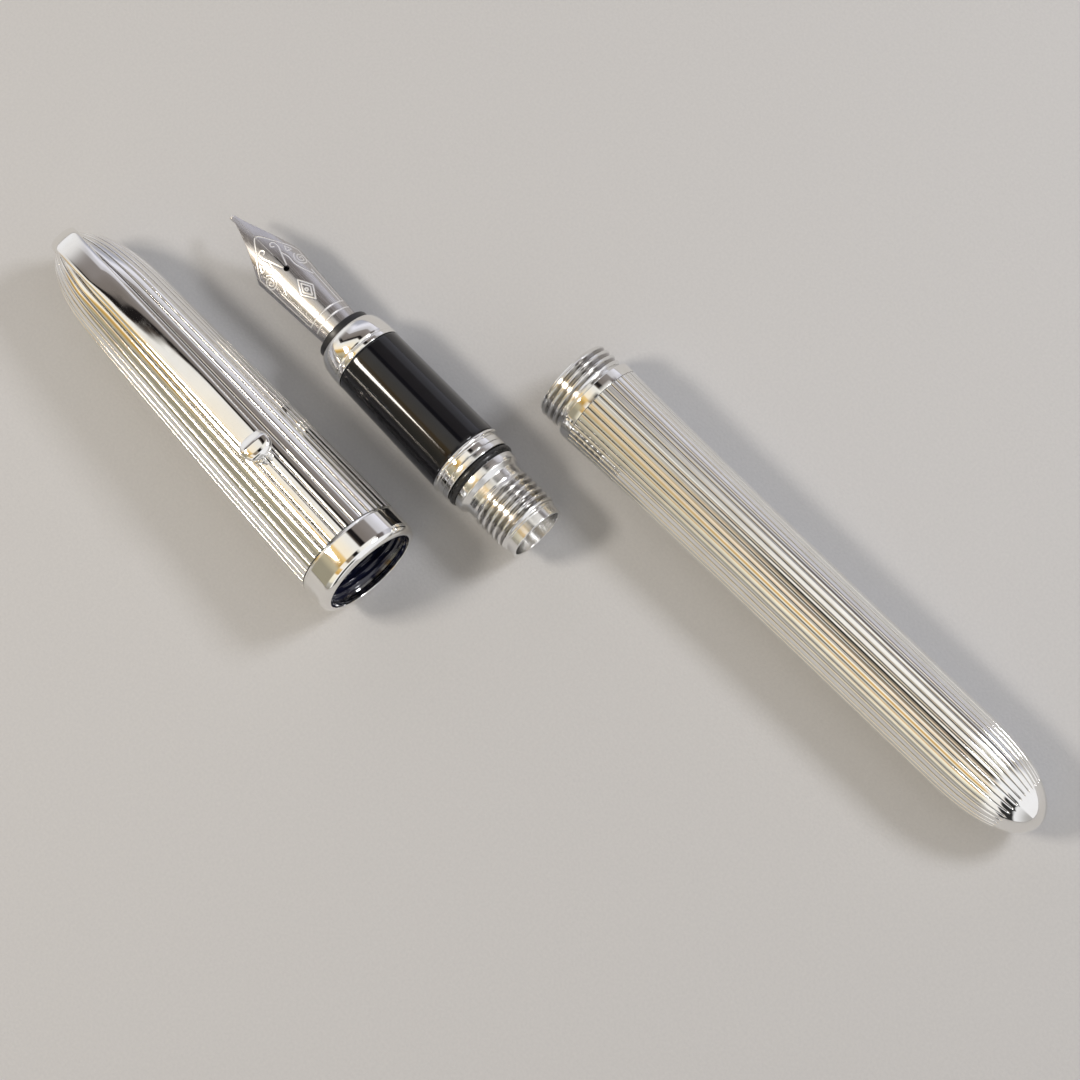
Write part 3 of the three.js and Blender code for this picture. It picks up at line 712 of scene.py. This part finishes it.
def section_front_ring():
    lip, dome_length = 4.25, 3.4
    reach = SECTION.front_radius - lip
    curve = [(dome_length * (1 - cos(a)), lip + reach * sin(a)) for a in spread(0, pi / 2, pi / 40)]
    end = SECTION.front_ring - PRESS_GAP
    corners = [
        (0, SECTION.housing_bore, 0.06), *curve, (3.6, 5.18, 0.1), (3.8, 5.38, 0.1),
        (end, 5.38, 0.1), (end, SECTION.housing_bore),
    ]
    place("section_front_ring", lathe(eased(corners), 160), SECTION_FRAME)


def grip_sleeve():
    bore = SECTION.core_radius + PRESS_GAP
    start, end = SECTION.front_ring, SECTION.grip - PRESS_GAP
    first, last = SECTION.front_radius, SECTION.rear_radius
    corners = [
        (start, bore), (start, first, 0.25), (start + 1, first), (end - 1, last), (end, last, 0.25),
        (end, bore),
    ]
    place("grip_sleeve", lathe(eased(corners), 160), SECTION_FRAME)


def section_rear_ring():
    """A thin round ridge and, behind a narrow groove, a plain band."""
    bore = SECTION.core_radius + PRESS_GAP
    start, end = SECTION.grip, SECTION.rear_ring - PRESS_GAP
    ridge = [(start + 0.3 - 0.3 * cos(a), 5.5 + 0.24 * sin(a)) for a in spread(0, pi, pi / 12)]
    corners = [
        (start, bore), *ridge, (start + 0.72, 5.26, 0.04), (start + 0.86, 5.42, 0.06),
        (end, 5.42, 0.08), (end, bore),
    ]
    place("section_rear_ring", lathe(eased(corners), 160), SECTION_FRAME)


def section_core():
    s = SECTION
    thread = [(x, s.thread_root) for x in spread(s.neck, s.thread, 0.09)]
    corners = [
        (s.front_ring + PRESS_GAP, s.housing_bore), (s.front_ring + PRESS_GAP, s.core_radius),
        (s.rear_ring, s.core_radius), (s.rear_ring, 5.47, 0.1), (s.flange, 5.47, 0.1),
        (s.flange, s.seal_seat), (s.seal, s.seal_seat), (s.seal, 5.14, 0.1),
        (s.shoulder - 0.6, 5.14, 0.15), (s.shoulder, s.neck_radius, 0.15),
        (s.neck - 0.2, s.neck_radius, 0.1), *thread, (s.thread + 0.1, s.end_radius, 0.06),
        (s.length, s.end_radius, 0.12), (s.length, s.rear_bore, 0.1), (s.partition, s.rear_bore),
        (s.partition, s.housing_bore),
    ]
    height = s.thread_crest - s.thread_root
    shape = threaded(height, s.neck, s.thread, s.thread_root)
    piece = place("section_core", lathe(eased(corners), 144, shape), SECTION_FRAME)
    mark_sink(piece, within(s.neck + 0.3, s.thread - 0.3, s.thread_crest), height)


def seal_ring():
    half_width = (SECTION.seal - SECTION.flange) / 2 - PRESS_GAP
    thickness = 0.8
    middle = SECTION.seal_seat + PRESS_GAP + thickness / 2
    outline = [
        (SEAL_MIDDLE + half_width * cos(a), middle + thickness / 2 * sin(a))
        for a in circle(24)
    ]
    place("seal_ring", lathe(outline, 128), SECTION_FRAME)


def ink_spigot():
    start, flange, end = SPIGOT.start, SPIGOT.flange, SPIGOT.end
    corners = [
        (start, SPIGOT.hole), (start, SECTION.housing_bore - 0.07),
        (flange, SECTION.housing_bore - 0.07, 0.1), (flange, SPIGOT.radius, 0.3),
        (end - 0.4, SPIGOT.radius - 0.15, 0.3), (end, SPIGOT.radius - 0.45, 0.1),
        (end, SPIGOT.hole, 0.05),
    ]
    place("ink_spigot", lathe(eased(corners), 64), SECTION_FRAME)


# ---------------- nib


def nib_wall(x):
    """The radius of the nib's curved wall at x, and half its width measured round that wall."""
    front = min(max((x + NIB.exposed) / (NIB.shoulder + NIB.exposed), 0), 1)
    rear = min(max((x - NIB.shoulder) / -NIB.shoulder, 0), 1)
    radius = NIB.shoulder_radius + (NIB.rear_radius - NIB.shoulder_radius) * rear
    tine = NIB.tip_half_width
    tine += (NIB.half_width - NIB.tip_half_width) * front**NIB.tine_curve
    half_width = tine - NIB.rear_narrowing * rear
    return radius, radius * asin(min(half_width / radius, 0.99))


def nib_point_at(x, across, sink):
    """A point of the nib: across is measured round the wall from its ridge, sink is into it."""
    radius, _ = nib_wall(x)
    droop = NIB.droop * (1 - min((x + NIB.exposed) / NIB.droop_length, 1)) ** 2
    angle = across / radius
    height = NIB.rear_radius - radius - droop
    r = radius - sink
    return (x, r * sin(angle), height + r * cos(angle))


def nib_edge(x):
    return nib_wall(x)[1]


# The engraved border, from its rounded point to its rear, where two lines run across.
BORDER = SimpleNamespace(front=-19, point=4, rear=-4.1, last_line=-2.9, share=0.8)


def border_line(x):
    """Half the width of the engraved border."""
    return BORDER.share * nib_edge(x) * sqrt(min((x - BORDER.front) / BORDER.point, 1))


def spiral(x, across, size, turns, start):
    """A scroll about a middle, as (x, across) places."""
    places = []
    for t in spread(0, 1, 1 / 48):
        angle = start + tau * turns * t
        radius = size * (1 - 0.85 * t)
        places.append((x + radius * cos(angle), across + radius * sin(angle)))
    return places


def flat_spline(points):
    return [(p.x, p.y) for p in spline([(x, across, 0) for x, across in points], 8)]


def engraved_lines():
    """The nib's decoration as lines of (x, across) places. Each is also cut in mirror image."""
    lines = [
        [(x, border_line(x)) for x in spread(BORDER.front, BORDER.rear, 0.12)],
        [(x, 0.62 * nib_edge(x)) for x in spread(-10.4, BORDER.rear, 0.5)],
        [(BORDER.rear, y) for y in spread(0, border_line(BORDER.rear), 0.4)],
        [(BORDER.last_line, y) for y in spread(0, border_line(BORDER.last_line), 0.4)],
        flat_spline([(-12.8, 0.4), (-14.5, 1.0), (-15.9, 1.5), (-16.7, 1.35), (-16.8, 0.8),
                     (-16.3, 0.65), (-16.1, 0.95)]),
        spiral(-12.6, 3.05, 1.15, 2.1, radians(200)),
        flat_spline([(-14.7, 1.15), (-13.6, 1.5), (-12.2, 1.45), (-10.9, 1.9), (-9.7, 2.6)]),
        flat_spline([(-15.4, 2.35), (-14.6, 2.0), (-14.5, 2.8), (-15.4, 2.35)]),
    ]
    middle, reach, half, dot = -8.1, 1.9, 1.15, 0.22  # a lozenge in another, round a dot
    for share in (1, 0.62):
        ends = middle - reach * share, middle + reach * share
        lines.append([(ends[0], 0), (middle, half * share), (ends[1], 0)])
    lines.append([(middle + dot * cos(a), dot * sin(a)) for a in spread(0, pi, 0.4)])
    return lines


def engraving_at(x, across):
    """How deep the engraving is at each place, from 0 to 1, for arrays of x and across."""
    across = np.abs(across)
    nearest = np.full(len(x), 1e9)
    for line in engraved_lines():
        for (x0, y0), (x1, y1) in zip(line, line[1:]):
            dx, dy = x1 - x0, y1 - y0
            t = ((x - x0) * dx + (across - y0) * dy) / max(dx * dx + dy * dy, 1e-12)
            t = np.clip(t, 0, 1)
            nearest = np.minimum(nearest, np.hypot(x - x0 - t * dx, across - y0 - t * dy))
    return np.clip(1 - (nearest - NIB.line) / NIB.line_edge, 0, 1)


def slit_edge(x):
    """Half the opening along the nib's ridge: the slit, then the breather hole, then nothing."""
    hole = NIB.breather_radius**2 - (x - NIB.breather) ** 2
    opening = sqrt(hole) if hole > 1e-9 else 0
    slit = NIB.slit * min(NIB.slit_share + (x + NIB.exposed) / NIB.slit_length, 1)
    return max(opening, slit) if x < NIB.breather else opening


def nib():
    """Two mirrored halves that join behind the breather hole."""
    breather, hole = NIB.breather, NIB.breather_radius
    rows = spread(-NIB.exposed + 0.3, breather - hole - 0.03, NIB.rows)
    rows += [breather - hole * cos(a) for a in spread(0, pi, pi / 18)]
    rows += spread(breather + hole + 0.05, 0, NIB.rows)
    rows += spread(1, NIB.inserted, 2)
    columns = [*spread(0, 0.985, 1 / 66), 0.993, 1]
    x = np.array([row for row in rows for _ in columns])
    across = np.array(
        [slit_edge(row) + (nib_edge(row) - slit_edge(row)) * c for row in rows for c in columns]
    )
    depth = engraving_at(x, across)
    to_edge = np.array([nib_edge(row) * (1 - c) for row in rows for c in columns])
    sink = NIB.engraving * depth + NIB.bevel * np.clip(1 - to_edge / NIB.bevel, 0, 1)
    count = len(columns)
    vertices, faces, engraving = [], [], []
    for side in (1, -1):
        for layer in (0, 1):
            first = len(vertices)
            for i, row in enumerate(x):
                inner = NIB.thickness if layer else sink[i]
                vertices.append(nib_point_at(row, side * across[i], inner))
                engraving.append(0 if layer else depth[i])
            for i in range(len(rows) - 1):
                for j in range(count - 1):
                    a = first + i * count + j
                    faces.append((a, a + 1, a + 1 + count, a + count))
        top = len(vertices) - 2 * len(x)
        under = top + len(x)
        walls = [
            (i * count + j, count) for i in range(len(rows) - 1) for j in (0, count - 1)
            if j or slit_edge(rows[i]) or slit_edge(rows[i + 1])  # none where the halves join
        ]
        walls += [(i * count + j, 1) for i in (0, len(rows) - 1) for j in range(count - 1)]
        faces += [(top + a, top + a + step, under + a + step, under + a) for a, step in walls]
    piece = place("nib", (vertices, faces), NIB_FRAME, sharp=50)
    layer = piece.data.attributes.new("engraving", "FLOAT", "POINT")
    layer.data.foreach_set("value", engraving)
    work = bmesh.new()
    work.from_mesh(piece.data)
    bmesh.ops.remove_doubles(work, verts=work.verts, dist=1e-8)
    bmesh.ops.recalc_face_normals(work, faces=work.faces)
    work.to_mesh(piece.data)
    work.free()


def nib_point():
    """The hard tip: two rounded pads with the slit between them and a ground writing face."""
    radius, length, notch_depth, notch_width, flat = 0.4, 0.65, 0.1, 0.05, -0.3
    middle_x, middle_z = -NIB.exposed + 0.1, NIB.rear_radius - 2.4
    rings = []
    for turn in spread(radians(3), radians(177), radians(6)):
        swell = sin(turn)
        ring = []
        for around in circle(40):
            y, z = radius * swell * cos(around), radius * swell * sin(around)
            notch = notch_depth * exp(-((y / notch_width) ** 2)) * swell
            z = max(z - copysign(notch, z), flat)
            ring.append((middle_x - length * cos(turn), y, middle_z + z))
        rings.append(ring)
    place("nib_point", loft(rings), NIB_FRAME, sharp=60)


def feed():
    """The finned ink feed. Its top is cut back under the tines, and a channel runs along it."""
    gaps = spread(-10.5, -2.5, 1)
    profile = [(FEED.front, 0.5), (-14, 1.6), (-11, 2.4), (-8.5, FEED.radius)]

    def wall(x):
        for (x0, r0), (x1, r1) in zip(profile, profile[1:]):
            if x <= x1:
                return r0 + (r1 - r0) * (x - x0) / (x1 - x0)
        return FEED.radius

    half, edge = FEED.fin_gap / 2, 0.02
    stations = set(spread(FEED.front, -11.55, 0.25) + spread(-11.45, -8.5, 0.3))
    for gap in gaps:
        stations.update((gap - half - edge, gap - half, gap + half, gap + half + edge))
    stations = sorted(stations | {-0.5, 4.0, FEED.end})
    outline = [(FEED.front, 0), *((x, wall(x)) for x in stations), (FEED.end, 0)]
    gap_floor, channel_floor, channel_half = 1.3, FEED.radius - 0.5, 0.25
    cut_end, cut_height, cut_slope = -11.5, 0.94, 0.2

    def shape(x, r, turn):
        up, side = cos(tau * turn), sin(tau * turn)
        limit = r
        in_gap = any(abs(x - gap) < half + edge / 2 for gap in gaps)
        if in_gap and up < 0:
            limit = min(limit, gap_floor / -up)
        if up > 0 and x < cut_end:
            limit = min(limit, max(cut_height - cut_slope * (x - FEED.front), 0.1) / up)
        if up > 0 and abs(limit * side) < channel_half:
            limit = min(limit, max(channel_floor * r / FEED.radius, 0.3) / up)
        return limit

    place("feed", lathe(outline, 120, shape), NIB_FRAME, sharp=30)


def feed_housing():
    corners = [
        (HOUSING.start, HOUSING.bore, 0.08), (HOUSING.start, HOUSING.lip, 0.25),
        (-PRESS_GAP, HOUSING.lip, 0.05), (-PRESS_GAP, HOUSING.radius),
        (HOUSING.end, HOUSING.radius, 0.1), (HOUSING.end, HOUSING.bore),
    ]
    place("feed_housing", lathe(eased(corners), 128), NIB_FRAME)


# ---------------- barrel


def barrel_sleeve():
    b = BARREL
    start = b.band_end + PRESS_GAP
    wall = spread(start, start + 0.4, 0.1) + spread(start + 3, 68, 3)
    wall += spread(69, b.flute_end - 1, 0.6) + spread(b.flute_end - 0.8, b.flute_end, 0.1)
    wall += [b.length - (b.length - b.flute_end) * (1 - sin(a)) for a in spread(0.12, pi / 2, 0.07)]
    wall = [x for x in wall if x < b.length - 1e-4]
    outline = [
        (b.bore_tip, 0), (b.bore_tip, 3.6), (b.bore_end, b.sleeve_bore),
        (b.collar_end + 0.2, b.sleeve_bore), (b.collar_end + 0.2, b.collar_seat),
        (start, b.collar_seat), *((x, barrel_radius(x)) for x in wall), (b.length, 0),
    ]
    shape = fluted(barrel_radius, b.band_end - 0.1, b.flute_end, 0.2, 0.4)
    piece = place("barrel_sleeve", lathe(outline, FLUTE_TURNS, shape), BARREL_FRAME)
    mark_sink(piece, barrel_radius, FLUTE_DEPTH)


def barrel_band():
    start, end = BARREL.band_start, BARREL.band_end
    radius = barrel_radius(start)
    corners = [
        (start, BARREL.collar_seat), (start, radius, 0.14), (end, radius, 0.05),
        (end, BARREL.collar_seat),
    ]
    place("barrel_band", lathe(eased(corners), 192), BARREL_FRAME)


def barrel_collar():
    b = BARREL
    root = b.collar_radius - THREAD_DEPTH
    seat = b.collar_seat - PRESS_GAP
    corners = [
        (0, b.counterbore, 0.08), (0, 5.65, 0.08),
        *((x, root) for x in spread(0.15, b.collar_length, 0.09)), (b.collar_length + 0.05, seat),
        (b.collar_end, seat), (b.collar_end, b.bore), (3.2, b.bore), (3, b.counterbore),
    ]
    thread = threaded(THREAD_DEPTH, 0, b.collar_length, root)
    piece = place("barrel_collar", lathe(eased(corners), 144, thread), BARREL_FRAME)
    crest = within(0.3, b.collar_length - 0.3, b.collar_radius)
    mark_sink(piece, crest, THREAD_DEPTH)


def barrel_liner():
    start, end = BARREL.collar_end + PRESS_GAP, BARREL.bore_end - 0.5
    outer, inner = BARREL.sleeve_bore - PRESS_GAP, BARREL.liner_bore
    corners = [(start, inner, 0.1), (start, outer), (end, outer), (end, inner, 0.1)]
    place("barrel_liner", lathe(eased(corners), 96), BARREL_FRAME)


# ---------------- converter


def converter_mouth():
    bore = CONVERTER.tube_bore - PRESS_GAP
    corners = [
        (0, 1.35, 0.1), (0, 2.7, 0.15), (0.4, 3, 0.15), (1.8, 3, 0.1), (1.8, bore), (6, bore),
        (6, 1.35),
    ]
    place("converter_mouth", lathe(eased(corners), 96), CONVERTER_FRAME)


def converter_tube():
    c = CONVERTER
    start, end, outer, inner = 1.8 + PRESS_GAP, c.tube_end, c.tube_radius, c.tube_bore
    corners = [(start, inner), (start, outer, 0.15), (end, outer), (end, inner)]
    place("converter_tube", lathe(eased(corners), 96), CONVERTER_FRAME)


def converter_ferrule():
    """A metal sleeve with two turned lines near its front edge."""
    c = CONVERTER
    start, end, outer = c.ferrule_start, c.ferrule_end, c.ferrule_radius
    lines = []
    for x in (start + 1.2, start + 1.9):
        lines += [(x, outer), (x + 0.12, outer - 0.1), (x + 0.24, outer)]
    seat = c.tube_radius + PRESS_GAP
    corners = [
        (start, seat), (start, outer, 0.12), *lines, (end, outer, 0.15), (end, 2.75, 0.1),
        (c.tube_end + PRESS_GAP, 2.75), (c.tube_end + PRESS_GAP, seat),
    ]
    place("converter_ferrule", lathe(eased(corners), 96), CONVERTER_FRAME)


def converter_knob():
    c = CONVERTER
    front, end, radius = c.ferrule_end + 0.3, c.length, c.knob_radius
    floor = end - 1.5
    first, last = front + 1.2, floor
    corners = [
        (floor, 0), (floor, c.knob_bore), (c.knob_start, c.knob_bore), (c.knob_start, c.knob_neck),
        (front, c.knob_neck), (front, radius, 0.4),
        *((x, radius) for x in spread(first - 0.3, first + 0.6, 0.15)),
        *((x, radius) for x in spread(last - 0.6, last + 0.1, 0.15)), (end, radius, 0.8), (end, 0),
    ]

    def knurled(x, r, turn):
        if r < radius - 0.01:
            return r
        groove = (0.5 + 0.5 * cos(tau * turn * KNURLS)) ** 1.5
        return r - KNURL_DEPTH * groove * smooth_step(min(x - first, last - x) / 0.6)

    place("converter_knob", lathe(eased(corners), KNURLS * 10, knurled), CONVERTER_FRAME)


def drive_bush():
    c = CONVERTER
    start, end = c.knob_start + 0.5, c.knob_start + 3.5
    outer, inner = c.knob_bore - PRESS_GAP, c.rod_radius + 0.14
    corners = [(start, inner, 0.08), (start, outer, 0.1), (end, outer, 0.1), (end, inner, 0.08)]
    place("drive_bush", lathe(eased(corners), 64), CONVERTER_FRAME)


def piston_rod():
    """A rod with a steep thread, and the head that the seal is pressed onto."""
    front, radius, end = CONVERTER.piston_front + 2.6, CONVERTER.rod_radius, CONVERTER.rod_end
    lead, starts, depth = 4, 2, 0.16
    thread = [(x, radius) for x in spread(front + 4, end - 0.6, 0.2)]
    corners = [
        (front, 0), (front, 1.9, 0.1), (front + 2, 1.9, 0.1), (front + 2, radius), *thread,
        (end, radius, 0.25), (end, 0),
    ]

    def steep_thread(x, r, turn):
        if not front + 3.9 < x < end - 0.5:
            return r
        wave = cos(tau * starts * (x / lead + turn))
        fade = smooth_step(min(x - front - 4, end - 0.6 - x))
        return r - depth * fade * (0.5 - 0.5 * wave)

    place("piston_rod", lathe(eased(corners), 48, steep_thread), CONVERTER_FRAME)


def piston_seal():
    """Two sealing lips round the piston's head."""
    front, radius = CONVERTER.piston_front, CONVERTER.tube_bore - PRESS_GAP
    corners = [
        (front, 0), (front, 2, 0.3), (front + 0.5, radius, 0.2), (front + 1.2, radius, 0.2),
        (front + 1.5, 2.4, 0.15), (front + 3.2, 2.4, 0.15), (front + 3.5, radius, 0.2),
        (front + 4.4, radius, 0.2), (front + 4.4, 1.95), (front + 2.55, 1.95), (front + 2.55, 0),
    ]
    place("piston_seal", lathe(eased(corners), 96), CONVERTER_FRAME)


# ---------------- floor and light


FLOOR_SIZE = 3  # half its side, in metres


def add_floor():
    mesh = bpy.data.meshes.new("floor")
    corners = [(x * FLOOR_SIZE, y * FLOOR_SIZE, 0) for x, y in ((-1, -1), (1, -1), (1, 1), (-1, 1))]
    mesh.from_pydata(corners, [], [(0, 1, 2, 3)])
    s = Shader("floor")
    speckle = s.noise(scale=2.5, detail=5, seed=30)
    colour = s.mixed(speckle, rgb(0.56, 0.56, 0.57), rgb(0.66, 0.655, 0.655))
    mesh.materials.append(s.finished(colour, 0.85, speckle, 0.03))
    floor = in_scene("floor", mesh)


def add_light(name, place_mm, size_mm, power, colour, aim_mm):
    data = bpy.data.lights.new(name, "AREA")
    data.shape = "RECTANGLE"
    data.size, data.size_y = (side * MM for side in size_mm)
    data.energy = power
    data.color = colour
    light = in_scene(name, data)
    light.location = Vector(place_mm) * MM
    toward = (Vector(aim_mm) - Vector(place_mm)).normalized()
    light.rotation_mode = "QUATERNION"
    light.rotation_quaternion = toward.to_track_quat("-Z", "Y")
    light.visible_camera = False


# The studio: soft panels that run along the pen, by angle from straight up. Minus is the side
# the cap lies on. The first list is seen in the cap and section, the second in the barrel.
CAP_STUDIO = [
    (-90, (0.33, 0.30, 0.22)), (-74, (0.50, 0.44, 0.30)), (-62, (0.50, 0.30, 0.07)),
    (-50, (0.85, 0.58, 0.22)), (-43, (1.0, 0.90, 0.72)), (-14, (0.90, 0.88, 0.84)),
    (-10, (0.07, 0.055, 0.045)), (-7, (0.012, 0.01, 0.01)), (-1, (0.012, 0.01, 0.01)),
    (3, (0.20, 0.175, 0.16)), (30, (0.26, 0.235, 0.225)), (36, (0.6, 0.59, 0.62)),
    (64, (0.85, 0.85, 0.94)), (90, (0.42, 0.43, 0.50)),
]
BARREL_STUDIO = [
    (-90, (0.30, 0.28, 0.24)), (-78, (0.45, 0.43, 0.38)), (-70, (0.90, 0.84, 0.66)),
    (-54, (1.0, 0.93, 0.76)), (-50, (0.62, 0.38, 0.11)), (-40, (0.80, 0.53, 0.20)),
    (-35, (1.0, 0.95, 0.85)), (-24, (0.95, 0.88, 0.76)), (-19, (0.25, 0.19, 0.12)),
    (-6, (0.30, 0.26, 0.21)), (-3, (0.012, 0.01, 0.01)), (5, (0.012, 0.01, 0.01)),
    (9, (0.62, 0.60, 0.56)), (14, (0.94, 0.92, 0.87)), (50, (0.99, 0.97, 0.94)),
    (56, (0.12, 0.10, 0.095)), (68, (0.16, 0.14, 0.14)), (74, (0.62, 0.61, 0.66)),
    (90, (0.50, 0.50, 0.56)),
]
CHANGE = (-0.2, -0.08)  # how far along a direction points where the first gives way to the second
# The studio's two ends, by how far along the pen a direction points, and their share there.
ENDS = [
    (-1.0, (0.90, 0.90, 0.92), 1), (-0.95, (0.85, 0.84, 0.84), 1), (-0.72, (0.3, 0.28, 0.27), 0),
    (0.3, (0.95, 0.93, 0.88), 0), (0.44, (0.98, 0.96, 0.92), 1), (0.54, (0.95, 0.93, 0.9), 1),
    (0.58, (0.03, 0.03, 0.03), 1), (0.74, (0.03, 0.03, 0.03), 1), (0.79, (0.85, 0.85, 0.86), 1),
    (1.0, (0.45, 0.44, 0.43), 1),
]
# Past these angles, on the side away from the cap, the barrel's end panels turn plain white.
OPEN_SIDE = (-16, -4)
OPEN_WHITE = (0.93, 0.93, 0.95)
# The cap's panels slant: this many degrees are added as directions point further along it.
SLANT = SimpleNamespace(start=-0.44, end=-0.68, first=-29, last=22)
# The panels show more in reflections than they light the floor, so that the lamps' shadows stay.
STUDIO_STRENGTH = 1.0
STUDIO_DIMMING = 0.42
BACKDROP = (0.55, 0.545, 0.54)  # what the camera sees beyond the floor


def add_world():
    world = bpy.data.worlds.new("world")
    studio = Graph(world)
    direction = studio.add("TexCoord", "Generated")
    x, y, z = studio.add("SeparateXYZ", "X", {"Vector": direction}).node.outputs
    lean = studio.maths("ARCTAN2", y, z)
    turns = radians(SLANT.first), radians(SLANT.last)
    slanted = studio.maths("ADD", lean, studio.ranged(x, SLANT.start, SLANT.end, *turns))
    change = studio.ranged(x, *CHANGE)
    over_cap, over_barrel = (
        studio.ramp(angle, -pi / 2, pi / 2, [(radians(a), c) for a, c in panels])
        for angle, panels in ((slanted, CAP_STUDIO), (lean, BARREL_STUDIO))
    )
    sides = studio.mixed(change, over_cap, over_barrel)
    end = studio.ramp(x, -1, 1, [(along, colour) for along, colour, _ in ENDS])
    end_share = studio.ramp(x, -1, 1, [(along, (share,) * 3) for along, _, share in ENDS])
    open_side = studio.ranged(lean, *(radians(a) for a in OPEN_SIDE))
    opened = studio.maths("MULTIPLY", open_side, change)
    ends = studio.mixed(opened, end, rgb(*OPEN_WHITE))
    panels = studio.mixed(end_share, sides, ends)
    rays = studio.add("LightPath", "Is Camera Ray").node.outputs
    background = studio.nodes["Background"].inputs
    studio.link(studio.mixed(rays["Is Camera Ray"], panels, rgb(*BACKDROP)), background["Color"])
    strengths = STUDIO_STRENGTH, STUDIO_STRENGTH - STUDIO_DIMMING
    studio.link(studio.ranged(rays["Is Diffuse Ray"], 0, 1, *strengths), background["Strength"])
    bpy.context.scene.world = world
    bpy.context.scene.view_settings.view_transform = "Standard"


add_camera()
make_materials()
screw_materials = frame["nodes"]["clip_screw"].data.materials
screw_materials.clear()
screw_materials.append(MATERIALS["steel"])

for build in (
    cap_shell, cap_band, cap_liner, clip_strap, clip_ball,
    section_front_ring, grip_sleeve, section_rear_ring, section_core, seal_ring, ink_spigot,
    nib, nib_point, feed, feed_housing,
    barrel_sleeve, barrel_band, barrel_collar, barrel_liner,
    converter_mouth, converter_tube, converter_ferrule, converter_knob, drive_bush,
    piston_rod, piston_seal,
):
    build()

add_floor()
add_world()
add_light("barrel_side", (150, 340, 350), (120, 90), 0.85, (0.95, 0.96, 1.0), (35, 20, 0))
add_light("cap_side", (-260, -270, 430), (120, 90), 1.25, (1.0, 0.93, 0.83), (-30, -10, 0))
